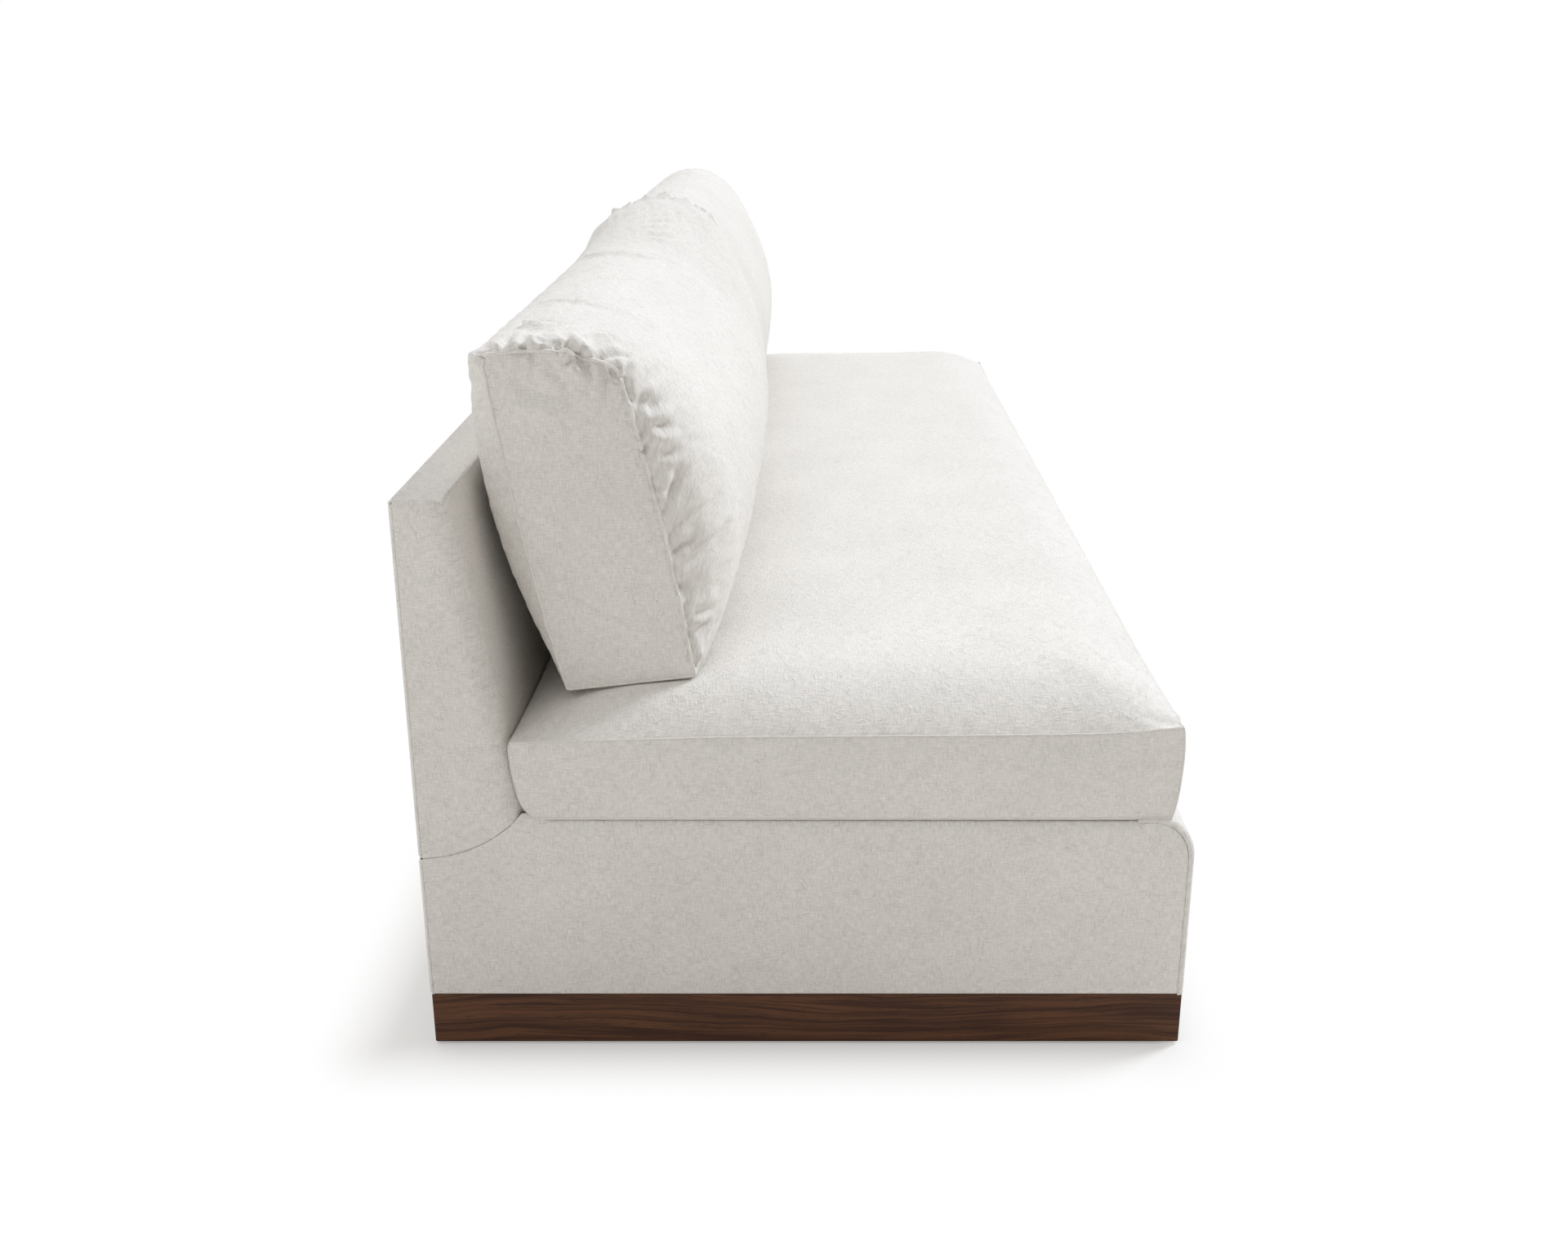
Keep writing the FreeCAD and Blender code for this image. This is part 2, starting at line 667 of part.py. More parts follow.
dowel_bottom = derive("dowel_bottom", f"{post_top} + {s.dowel_in_rail} - {s.dowel_length}")
dowel_line = derive("dowel_line", f"({back_line(top_rail_top, post_depth)} + {frame_rear}) / 2")
dowels = []
dowel_holes = []
for index, x in enumerate((end_post_line, inner_post_line)):
    dowels.append(cylinder(f"dowel_{index}", s.dowel_radius, s.dowel_length, x, dowel_line, dowel_bottom))
    dowel_holes.append(cylinder(f"dowel_hole_{index}", f"{s.dowel_radius} + {s.hole_gap}",
                                f"{s.dowel_length}", x, dowel_line, dowel_bottom))
dowel_drill = group("dowel_drill", both_ends(dowel_holes))
node(group("back_top_dowels", both_ends(dowels)), "back_top_dowels")

rear_rail = box("rear_rail", f"-{frame_end}", frame_end, rail_rear, frame_rear, rail_bottom, rail_top)
rear_drill = group("rear_drill", [screw_drill, bolt_drill])
node(cut("base_rear_rail", rear_rail, rear_drill), "base_rear_rail")
post_drill = group("post_drill", [bolt_drill, dowel_drill])
right_post = node(cut("back_post_right", end_post, post_drill), "back_post_right")
node(mirror("back_post_left", right_post), "back_post_left")
right_inner_post = cut("right_inner_post", inner_post, post_drill)
node(group("back_inner_posts", both_ends([right_inner_post])), "back_inner_posts")
top_rail = box("top_rail", f"-{frame_end}", frame_end, back_line(top_rail_top, post_depth), frame_rear,
               post_top, top_rail_top)
node(cut("back_top_rail", top_rail, dowel_drill), "back_top_rail")

lower_bottom = derive("lower_bottom", f"{deck_top} + {s.lower_rail_lift}")
lower_top = derive("lower_top", f"{lower_bottom} + {s.lower_rail_height}")
lower_rear = derive("lower_rear", f"{post_face} + {s.lower_rail_depth} + {s.lower_rail_lift}")
lower_corners = [
    (back_line(lower_bottom, post_depth), lower_bottom),
    (back_line(lower_top, post_depth), lower_top),
    (lower_rear, lower_top),
    (lower_rear, lower_bottom),
]
outer_lower_rail = profile("outer_lower_rail", inner_post_right, post_inner, lower_corners)
middle_lower_rail = profile("middle_lower_rail", f"-{inner_post_left}", inner_post_left, lower_corners)
node(group("back_lower_rails", both_ends([outer_lower_rail]) + [middle_lower_rail]), "back_lower_rails")

# Webbing, padding and covers of the back
straps = []
for step in range(4):
    low = derive(f"strap_{step}_low", f"{deck_top} + {s.webbing_lift} + {step} * {s.webbing_pitch}")
    high = derive(f"strap_{step}_high", f"{low} + {s.webbing_width}")
    straps.append(profile(f"strap_{step}", f"-{frame_end}", frame_end, [
        (back_line(low, foam_depth), low),
        (back_line(high, foam_depth), high),
        (back_line(high, post_depth), high),
        (back_line(low, post_depth), low),
    ]))
node(group("back_webbing", straps), "back_webbing")
node(profile("back_foam", f"-{frame_end}", frame_end, [
    (back_line(deck_top, s.cover_thickness), deck_top),
    (back_line(back_skin, s.cover_thickness), back_skin),
    (back_line(back_skin, foam_depth), back_skin),
    (back_line(deck_top, foam_depth), deck_top),
]), "back_foam")
node(profile("back_top_pad", f"-{frame_end}", frame_end, [
    (back_line(top_rail_top, foam_depth), top_rail_top),
    (back_line(back_skin, foam_depth), back_skin),
    (frame_rear, back_skin),
    (frame_rear, top_rail_top),
]), "back_top_pad")
node(box("rear_wadding_sheet", f"-{frame_end}", frame_end, frame_rear, cover_rear, rail_bottom, back_skin),
     "rear_wadding_sheet")
back_end_wadding = profile("back_end_wadding", frame_end, cover_end, [
    (back_line(deck_top, s.cover_thickness), deck_top),
    (back_line(back_skin, s.cover_thickness), back_skin),
    (cover_rear, back_skin),
    (cover_rear, deck_top),
])
node(back_end_wadding, "back_right_wadding")
node(mirror("back_left_wadding", back_end_wadding), "back_left_wadding")
node(profile("back_inside_cover", f"-{cover_end}", cover_end, [
    (back_line(deck_top, "0"), deck_top),
    (back_line(back_top, "0"), back_top),
    (half_depth, back_top),
    (half_depth, back_skin),
    (back_line(back_skin, s.cover_thickness), back_skin),
    (back_line(deck_top, s.cover_thickness), deck_top),
]), "back_inside_cover")
node(box("back_outside_cover", f"-{cover_end}", cover_end, cover_rear, half_depth, seam_low, back_skin),
     "back_outside_cover")

# Bench seat cushion: casing, filling and zip
seat_end = derive("seat_end", f"{half_length} - {s.seat_end_inset}")
seat_front = derive("seat_front", f"{s.seat_setback} - {half_depth}")
seat_bottom = derive("seat_bottom", f"{deck_top} + {s.rest_gap}")
seat_seam = derive("seat_seam", f"{seat_bottom} + {s.seat_boxing}")
# Distance in from each end, share of the crown reached there, share of the draw-in
SEAT_STATIONS = ((0, 0.14, 0), (20, 0.5, 0.1), (55, 0.8, 0.25), (120, 1, 0.5))


def seat_section(label, x, inset, rear_inset, crown_share, draw_share):
    """One cross-section of the seat cushion, drawn in from the casing by an inset."""
    front = f"{seat_front} + {draw_share} * {s.seat_draw_in} + {inset}"
    low = f"{seat_bottom} + {inset}"
    high = f"{seat_seam} - {inset}"
    rear_high = f"{high} - {s.seat_rear_drop}"
    rear_gap = f"0 - {s.seat_back_gap} - {rear_inset}"
    rear = back_line(f"({rear_high})", rear_gap)
    crown = f"{high} + {crown_share} * {s.seat_crown}"
    corners = [
        (f"{front} + {s.seat_foot_tuck}", low),
        (front, high),
        (f"{front} + {s.seat_front_shoulder}", crown),
        (f"{rear} - {s.seat_rear_shoulder}", crown),
        (rear, rear_high),
        (back_line(f"({low})", rear_gap), low),
    ]
    rises = (s.seat_front_bow, f"{crown_share} * {s.seat_front_shoulder_bow}",
             f"{crown_share} * {s.seat_top_bow}", f"{crown_share} * {s.seat_rear_shoulder_bow}")
    arcs = {edge: (bow(corners[edge], corners[edge + 1], rise), True) for edge, rise in enumerate(rises)}
    return section(label, x, corners, arcs)


def seat_solid(label, inset, rear_inset):
    """The seat cushion's form, brought in all round by an inset."""
    sections = []
    for index, (distance, crown, draw_in) in enumerate(SEAT_STATIONS):
        x = f"{seat_end} - {inset}" if index == 0 else f"{seat_end} - {distance}"
        sections.append((f"-({x})", crown, draw_in))
    sections.append(("0", 1, 1))
    for x, crown, draw_in in reversed(sections[:-1]):
        sections.append((f"0 - {x}", crown, draw_in))
    return loft(label, [seat_section(f"{label}_{number}", x, inset, rear_inset, crown, draw_in)
                        for number, (x, crown, draw_in) in enumerate(sections)])


filling_inset = derive("filling_inset", f"{s.casing_thickness} + {s.filling_gap}")
filling_zip_inset = derive("filling_zip_inset", f"{s.casing_zip_wall} + {s.filling_gap}")
seat_outer = seat_solid("seat_outer", "0", "0")
seat_cavity = seat_solid("seat_cavity", s.casing_thickness, s.casing_zip_wall)
node(seat_solid("seat_cushion_filling", filling_inset, filling_zip_inset), "seat_cushion_filling")
seat_casing = cut("seat_casing", seat_outer, seat_cavity)

tape_face = derive("tape_face", f"{s.zip_channel_depth} - {s.zip_tape_thickness}")
slider_face = derive("slider_face", f"{tape_face} - {s.zip_run_gap}")
slider_back = derive("slider_back", f"{slider_face} - {s.zip_slider_thickness}")
pull_back = derive("pull_back", f"{slider_face} - {s.zip_pull_thickness}")
zip_level = derive("zip_level", f"({seat_bottom} + {seat_seam}) / 2")


def seat_zip_strip(label, x0, x1, width, near, far):
    """A strip let into the rear of the seat cushion between two depths below its face."""
    low = f"({zip_level} - ({width}) / 2)"
    high = f"({zip_level} + ({width}) / 2)"
    return profile(label, x0, x1, [
        (back_line(low, f"0 - {s.seat_back_gap} - ({far})"), low),
        (back_line(high, f"0 - {s.seat_back_gap} - ({far})"), high),
        (back_line(high, f"0 - {s.seat_back_gap} - ({near})"), high),
        (back_line(low, f"0 - {s.seat_back_gap} - ({near})"), low),
    ])


tape_width = derive("tape_width", f"{s.zip_channel_width} - 2 * {s.zip_side_gap}")
seat_zip_start = derive("seat_zip_start", f"0 - {s.seat_zip_length} / 2")
seat_zip_end = derive("seat_zip_end", f"{s.seat_zip_length} / 2")
seat_channel = seat_zip_strip("seat_channel", seat_zip_start, seat_zip_end, s.zip_channel_width,
                              f"0 - {s.seat_back_gap}", s.zip_channel_depth)
node(cut("seat_cushion_cover", seat_casing, seat_channel), "seat_cushion_cover")
node(seat_zip_strip("seat_cushion_zip", f"{seat_zip_start} + {s.zip_side_gap}", f"{seat_zip_end} - {s.zip_side_gap}",
                    tape_width, tape_face, s.zip_channel_depth), "seat_cushion_zip")
seat_slider_start = derive("seat_slider_start", f"{seat_zip_start} + {s.zip_end_margin}")
seat_slider_end = derive("seat_slider_end", f"{seat_slider_start} + {s.zip_slider_length}")
node(fuse("seat_zip_slider", [
    seat_zip_strip("seat_slider_body", seat_slider_start, seat_slider_end, s.zip_slider_width,
                   slider_back, slider_face),
    seat_zip_strip("seat_slider_pull", seat_slider_end, f"{seat_slider_end} + {s.zip_pull_length}",
                   s.zip_pull_width, pull_back, slider_face),
]), "seat_zip_slider")

# Back cushions: each stands on the crown of the seat and leans on the back
crown_rear = derive("crown_rear", back_line(f"({seat_seam} - {s.seat_rear_drop})", f"0 - {s.seat_back_gap}"))
crown_drop = derive("crown_drop", f"{s.seat_crown} + {s.seat_rear_drop}")
crown_chord = derive("crown_chord", f"sqrt({s.seat_rear_shoulder}^2 + {crown_drop}^2)")
crown_radius = derive("crown_radius", f"{crown_chord}^2 / (8 * {s.seat_rear_shoulder_bow})"
                                      f" + {s.seat_rear_shoulder_bow} / 2")
crown_depth = derive("crown_depth", f"{crown_radius} - {s.seat_rear_shoulder_bow}")
crown_y = derive("crown_y", f"{crown_rear} - {s.seat_rear_shoulder} / 2"
                            f" - {crown_depth} * {crown_drop} / {crown_chord}")
crown_z = derive("crown_z", f"{seat_seam} + {s.seat_crown} - {crown_drop} / 2"
                            f" - {crown_depth} * {s.seat_rear_shoulder} / {crown_chord}")
foot_radius = derive("foot_radius", f"{crown_radius} + {s.rest_gap}")
foot_y = derive("foot_y", f"{crown_y} + {foot_radius} * sin({s.cushion_lean})")
foot_z = derive("foot_z", f"{crown_z} + {foot_radius} * cos({s.cushion_lean})")


def leaning(across, up):
    """A point of the back cushion, across its thickness and up from its foot."""
    return (f"({foot_y} + ({across}) * cos({s.cushion_lean}) + ({up}) * sin({s.cushion_lean}))",
            f"({foot_z} - ({across}) * sin({s.cushion_lean}) + ({up}) * cos({s.cushion_lean}))")


half_foot = derive("half_foot", f"{s.cushion_foot_thickness} / 2")
half_head = derive("half_head", f"{s.cushion_head_thickness} / 2")
rear_middle = leaning(f"({half_foot} + {half_head}) / 2",
                      f"({s.cushion_height} + {s.cushion_lift}) / 2")
rear_middle_y = derive("rear_middle_y", rear_middle[0])
rear_middle_z = derive("rear_middle_z", rear_middle[1])
cushion_rear_bow = derive("cushion_rear_bow",
                          f"({back_line(rear_middle_z, '0')} - {rear_middle_y}) / sqrt(1 + {back_slope}^2)"
                          f" - {s.cushion_back_gap}")
cushion_start = derive("cushion_start", f"{s.cushion_gap} / 2")
cushion_end = derive("cushion_end", f"{half_length} - {s.cushion_end_inset}")
cushion_middle = derive("cushion_middle", f"({cushion_start} + {cushion_end}) / 2")
# Distance in from each end, and the shares of the bulge, the rounded top and the lift reached there
CUSHION_STATIONS = ((0, 0.12, 0.55, 0), (24, 0.45, 0.75, 0.3), (70, 0.75, 0.9, 0.6), (150, 0.94, 0.97, 0.85))


def cushion_section(label, x, inset, foot_inset, shares):
    """One cross-section of a back cushion, drawn in from the casing by an inset."""
    bulge, rounding, lift = shares
    foot = f"{half_foot} - {inset}"
    head = f"{half_head} - {inset}"
    top = f"{s.cushion_height} + {lift} * {s.cushion_lift} - {inset}"
    skew = f"{1 - lift} * {s.cushion_head_skew}"
    corners = [
        leaning(f"0 - ({foot})", foot_inset),
        leaning(f"0 - ({head})", f"{top} - {skew}"),
        leaning(head, f"{top} + {skew}"),
        leaning(foot, foot_inset),
    ]
    arcs = {
        0: (bow(corners[0], corners[1], f"{bulge} * {s.cushion_front_bow}"), True),
        1: (bow(corners[1], corners[2], f"{rounding} * {s.cushion_top_bow}"), True),
        2: (bow(corners[2], corners[3], f"{bulge} * {cushion_rear_bow}"), True),
    }
    return section(label, x, corners, arcs)


def cushion_solid(label, inset, foot_inset):
    """The back cushion's form, brought in all round by an inset."""
    stations = []
    for index, (distance, *shares) in enumerate(CUSHION_STATIONS):
        reach = f"{distance} + {inset}" if index == 0 else f"{distance}"
        stations.append((reach, shares))
    places = [(f"{cushion_start} + {reach}", shares) for reach, shares in stations]
    places.append((cushion_middle, (1, 1, 1)))
    places.extend((f"{cushion_end} - ({reach})", shares) for reach, shares in reversed(stations))
    return loft(label, [cushion_section(f"{label}_{number}", x, inset, foot_inset, shares)
                        for number, (x, shares) in enumerate(places)])


def cushion_zip_strip(label, x0, x1, width, near, far):
    """A strip let into the foot of a back cushion between two depths above its face."""
    half = f"({width}) / 2"
    return profile(label, x0, x1, [
        leaning(f"0 - {half}", near),
        leaning(f"0 - {half}", far),
        leaning(half, far),
        leaning(half, near),
    ])


cushion_outer = cushion_solid("cushion_outer", "0", "0")
cushion_cavity = cushion_solid("cushion_cavity", s.casing_thickness, s.casing_zip_wall)
cushion_filling = cushion_solid("cushion_filling", filling_inset, filling_zip_inset)
cushion_casing = cut("cushion_casing", cushion_outer, cushion_cavity)
zip_start = derive("zip_start", f"{cushion_middle} - {s.cushion_zip_length} / 2")
zip_end = derive("zip_end", f"{cushion_middle} + {s.cushion_zip_length} / 2")
cushion_channel = cushion_zip_strip("cushion_channel", zip_start, zip_end, s.zip_channel_width,
                                    f"0 - {s.zip_channel_depth}", s.zip_channel_depth)
cushion_cover = cut("cushion_cover", cushion_casing, cushion_channel)
cushion_zip = cushion_zip_strip("cushion_zip", f"{zip_start} + {s.zip_side_gap}", f"{zip_end} - {s.zip_side_gap}",
                                tape_width, tape_face, s.zip_channel_depth)
slider_end = derive("slider_end", f"{zip_end} - {s.zip_end_margin}")
slider_start = derive("slider_start", f"{slider_end} - {s.zip_slider_length}")
cushion_slider = fuse("cushion_slider", [
    cushion_zip_strip("slider_body", slider_start, slider_end, s.zip_slider_width, slider_back, slider_face),
    cushion_zip_strip("slider_pull", f"{slider_start} - {s.zip_pull_length}", slider_start,
                      s.zip_pull_width, pull_back, slider_face),
])
for piece, name in ((cushion_cover, "cushion_cover"), (cushion_filling, "cushion_filling"),
                    (cushion_zip, "cushion_zip"), (cushion_slider, "zip_slider")):
    node(piece, "right_back_" + name)
    node(mirror("left_back_" + name, piece), "left_back_" + name)

# Recompute, check every object and write one file for each sub-part
DOC.recompute()
for item in DOC.Objects:
    if "Invalid" in item.State or "Error" in item.State:
        raise RuntimeError(f"{item.Label} does not compute")
os.makedirs("parts", exist_ok=True)
for item in NODES:
    shape = item.Shape
    if shape.isNull() or not shape.isValid():
        raise RuntimeError(f"{item.Label} has no valid shape")
    shape.exportStep(os.path.join("parts", item.Label + ".step"))
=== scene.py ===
"""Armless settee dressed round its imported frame. Metres, X along the length, -Y the front, Z up."""

import logging
import math
from dataclasses import dataclass, replace
from enum import Enum
from typing import Sequence

import bmesh
import bpy
import numpy as np
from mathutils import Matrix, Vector
from mathutils.bvhtree import BVHTree


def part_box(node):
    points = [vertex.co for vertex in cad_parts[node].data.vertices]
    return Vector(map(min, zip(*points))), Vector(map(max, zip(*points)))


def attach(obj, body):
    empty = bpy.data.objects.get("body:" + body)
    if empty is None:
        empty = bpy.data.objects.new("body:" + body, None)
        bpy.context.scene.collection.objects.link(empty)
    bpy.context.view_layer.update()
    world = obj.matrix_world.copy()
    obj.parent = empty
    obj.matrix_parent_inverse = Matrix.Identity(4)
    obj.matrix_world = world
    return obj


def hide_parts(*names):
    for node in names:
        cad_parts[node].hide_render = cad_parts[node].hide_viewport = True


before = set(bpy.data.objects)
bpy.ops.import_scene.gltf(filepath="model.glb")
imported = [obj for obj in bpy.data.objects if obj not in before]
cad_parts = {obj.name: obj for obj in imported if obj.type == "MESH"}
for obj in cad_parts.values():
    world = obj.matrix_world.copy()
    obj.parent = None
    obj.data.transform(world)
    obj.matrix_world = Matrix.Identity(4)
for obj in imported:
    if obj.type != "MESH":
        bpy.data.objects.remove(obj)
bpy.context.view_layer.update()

LOG = logging.getLogger("settee")
CLOTH_MAP = "Cloth"
WELD = 1e-6
OFF_AXIS = np.array([0.31, 0.17, 0.93])
WHITE = (1.0, 1.0, 1.0, 1.0)


class Body(Enum):
    """The bodies of the frame that pieces ride on."""

    FRAME = "frame"
    SEAT = "seat_cushion"
    LEFT_CUSHION = "left_back_cushion"
    RIGHT_CUSHION = "right_back_cushion"


class Slot(Enum):
    """The record's material slots for linen, walnut and underlay."""

    LINEN = "linen"
    WALNUT = "walnut"
    UNDERLAY = "underlay"


class Side(Enum):
    """The two ends of the settee."""

    LEFT = -1
    RIGHT = 1

    @property
    def word(self) -> str:
        """The word used in node names."""
        return self.name.lower()


def stand(name: str, data: bpy.types.ID) -> bpy.types.Object:
    """Put new data in the scene as an object.

    Args:
        name: Name of the object.
        data: Its mesh, camera or light.
    Returns:
        The object.
    """
    item = bpy.data.objects.new(name, data)
    bpy.context.scene.collection.objects.link(item)
    return item


def eased(share: np.ndarray) -> np.ndarray:
    """Smooth step from 0 to 1."""
    share = np.clip(share, 0.0, 1.0)
    return share * share * (3.0 - 2.0 * share)


def lengths(points: np.ndarray) -> np.ndarray:
    """Distance run along each row of points.

    Args:
        points: Array whose last two axes are the points and their coordinates.
    Returns:
        The running length at each point.
    """
    steps = np.linalg.norm(np.diff(points, axis=-2), axis=-1)
    start = np.zeros(steps.shape[:-1] + (1,))
    return np.concatenate([start, np.cumsum(steps, axis=-1)], axis=-1)


def resample(line: np.ndarray, shares: np.ndarray) -> np.ndarray:
    """Points at given shares of a line's length.

    Args:
        line: Points of the line.
        shares: Shares of the whole length, from 0 to 1.
    Returns:
        One point for each share.
    """
    run = lengths(line)
    return np.stack([np.interp(shares * run[-1], run, axis) for axis in line.T], axis=-1)


def spacing(length: float, step: float, fine: Sequence[float]) -> np.ndarray:
    """Shares of a length, even in the middle and fine at both ends.

    Args:
        length: Whole length.
        step: Even step in the middle.
        fine: Distances from each end that get a point.
    Returns:
        Shares from 0 to 1.
    """
    near = np.asarray(fine, float)
    count = max(2, int(round((length - 2 * near[-1]) / step)) + 1)
    middle = np.linspace(near[-1], length - near[-1], count)
    return np.concatenate([near[:-1], middle, (length - near[:-1])[::-1]]) / length


# Distances from an edge that get grid points
FINE_EDGE = (0.0, 0.0006, 0.0016, 0.003, 0.005, 0.008, 0.012, 0.018, 0.026)
FINE_HEM = (0.0, 0.001, 0.002, 0.004, 0.006)
FINE_BOXING = (0.0, 0.0015, 0.004, 0.008, 0.014, 0.022, 0.033)
FINE_GATHER = (0.0, 0.003, 0.006, 0.0095, 0.0135, 0.018, 0.0235, 0.03, 0.038)


@dataclass
class Patch:
    """A grid of points on one panel, and where each lies on the flat cloth."""

    points: np.ndarray
    cloth: np.ndarray


def coons(low: np.ndarray, high: np.ndarray, first: np.ndarray, last: np.ndarray,
          across: np.ndarray, up: np.ndarray) -> np.ndarray:
    """Fill four border lines with a grid of points.

    Args:
        low: Border at up 0. high: Border at up 1.
        first: Border at across 0. last: Border at across 1.
        across: Shares along low and high. up: Shares along first and last.
    Returns:
        Points as rows (up) by columns (across).
    """
    s = across[None, :, None]
    t = up[:, None, None]
    flat = (1 - t) * low[None] + t * high[None] + (1 - s) * first[:, None] + s * last[:, None]
    corners = ((1 - s) * (1 - t) * low[0] + s * (1 - t) * low[-1]
               + (1 - s) * t * high[0] + s * t * high[-1])
    return flat - corners


@dataclass
class Sewn:
    """A mesh piece made of patches, with the vertex number of every grid point."""

    piece: bpy.types.Object
    grids: list[np.ndarray]

    def read(self) -> np.ndarray:
        """Places of all vertices.

        Returns:
            One row for each vertex.
        """
        mesh = self.piece.data
        flat = np.zeros(len(mesh.vertices) * 3)
        mesh.vertices.foreach_get("co", flat)
        return flat.reshape(-1, 3)

    def write(self, places: np.ndarray) -> None:
        """Set the places of all vertices."""
        self.piece.data.vertices.foreach_set("co", np.ascontiguousarray(places, dtype=float).ravel())
        self.piece.data.update()

    def refine(self) -> None:
        """Split every face in four and smooth the form."""
        smooth = self.piece.modifiers.new("Smooth", "SUBSURF")
        smooth.levels = 1
        graph = bpy.context.evaluated_depsgraph_get()
        whole = self.piece.evaluated_get(graph)
        finer = bpy.data.meshes.new_from_object(whole, preserve_all_data_layers=True, depsgraph=graph)
        self.piece.modifiers.clear()
        self.piece.data = finer

    def surface(self) -> BVHTree:
        """The surface, for finding places on it."""
        faces = [tuple(face.vertices) for face in self.piece.data.polygons]
        return BVHTree.FromPolygons([Vector(place) for place in self.read()], faces)

    def normals(self) -> np.ndarray:
        """Outward normals of all vertices.

        Returns:
            One row for each vertex.
        """
        self.piece.data.update()
        flat = np.zeros(len(self.piece.data.vertices) * 3)
        self.piece.data.vertices.foreach_get("normal", flat)
        return flat.reshape(-1, 3)


def sew(name: str, patches: Sequence[Patch], outward: Vector | None = None) -> Sewn:
    """Join patches into one smooth mesh, welding the points that they share.

    Args:
        name: Piece name.
        patches: The panels.
        outward: Direction that an open sheet faces; a closed form needs none.
    Returns:
        The sewn piece.
    """
    points = np.concatenate([patch.points.reshape(-1, 3) for patch in patches])
    cloth = np.concatenate([patch.cloth.reshape(-1, 2) for patch in patches])
    keys = np.round(points / WELD).astype(np.int64)
    _, first, index = np.unique(keys, axis=0, return_index=True, return_inverse=True)
    index = index.reshape(-1)
    corners, grids, start = [], [], 0
    for patch in patches:
        rows, columns = patch.points.shape[:2]
        at = start + np.arange(rows * columns).reshape(rows, columns)
        grids.append(index[at])
        corners.append(np.stack([at[:-1, :-1], at[:-1, 1:], at[1:, 1:], at[1:, :-1]], -1).reshape(-1, 4))
        start += rows * columns
    loops = np.concatenate(corners)
    mesh = bpy.data.meshes.new(name)
    mesh.from_pydata(points[first].tolist(), [], index[loops].tolist())
    layer = mesh.uv_layers.new(name=CLOTH_MAP)
    layer.data.foreach_set("uv", cloth[loops].ravel())
    soft = bmesh.new()
    soft.from_mesh(mesh)
    bmesh.ops.recalc_face_normals(soft, faces=soft.faces)
    if outward is not None:
        facing = sum((face.normal * face.calc_area() for face in soft.faces), Vector())
        if facing.dot(outward) < 0:
            bmesh.ops.reverse_faces(soft, faces=soft.faces)
    soft.to_mesh(mesh)
    soft.free()
    mesh.shade_smooth()
    return Sewn(stand(name, mesh), grids)


def tube(name: str, line: np.ndarray, radius: float, closed: bool, sides: int = 8) -> bpy.types.Object:
    """A round cord of cloth along a line.

    Args:
        name: Piece name.
        line: Points along its middle.
        radius: Its radius.
        closed: Whether the line runs round to its start.
        sides: Faces round the cord.
    Returns:
        The new piece.
    """
    ahead = np.roll(line, -1, 0) - np.roll(line, 1, 0)
    if not closed:
        ahead[0], ahead[-1] = line[1] - line[0], line[-1] - line[-2]
    ahead /= np.linalg.norm(ahead, axis=1, keepdims=True)
    side = np.cross(ahead, OFF_AXIS)
    side /= np.linalg.norm(side, axis=1, keepdims=True)
    lift = np.cross(side, ahead)
    turn = np.linspace(0, 2 * math.pi, sides + 1)
    ring = side[:, None] * np.cos(turn)[None, :, None] + lift[:, None] * np.sin(turn)[None, :, None]
    points = line[:, None] + ring * radius
    if closed:
        points = np.concatenate([points, points[:1]])
    run = lengths(np.concatenate([line, line[:1]]) if closed else line)
    cloth = np.stack(np.broadcast_arrays(run[:, None], (turn * radius)[None]), -1)
    points[:, -1] = points[:, 0]
    return sew(name, [Patch(points, cloth)]).piece


# Finishes


Given = float | tuple | bpy.types.NodeSocket


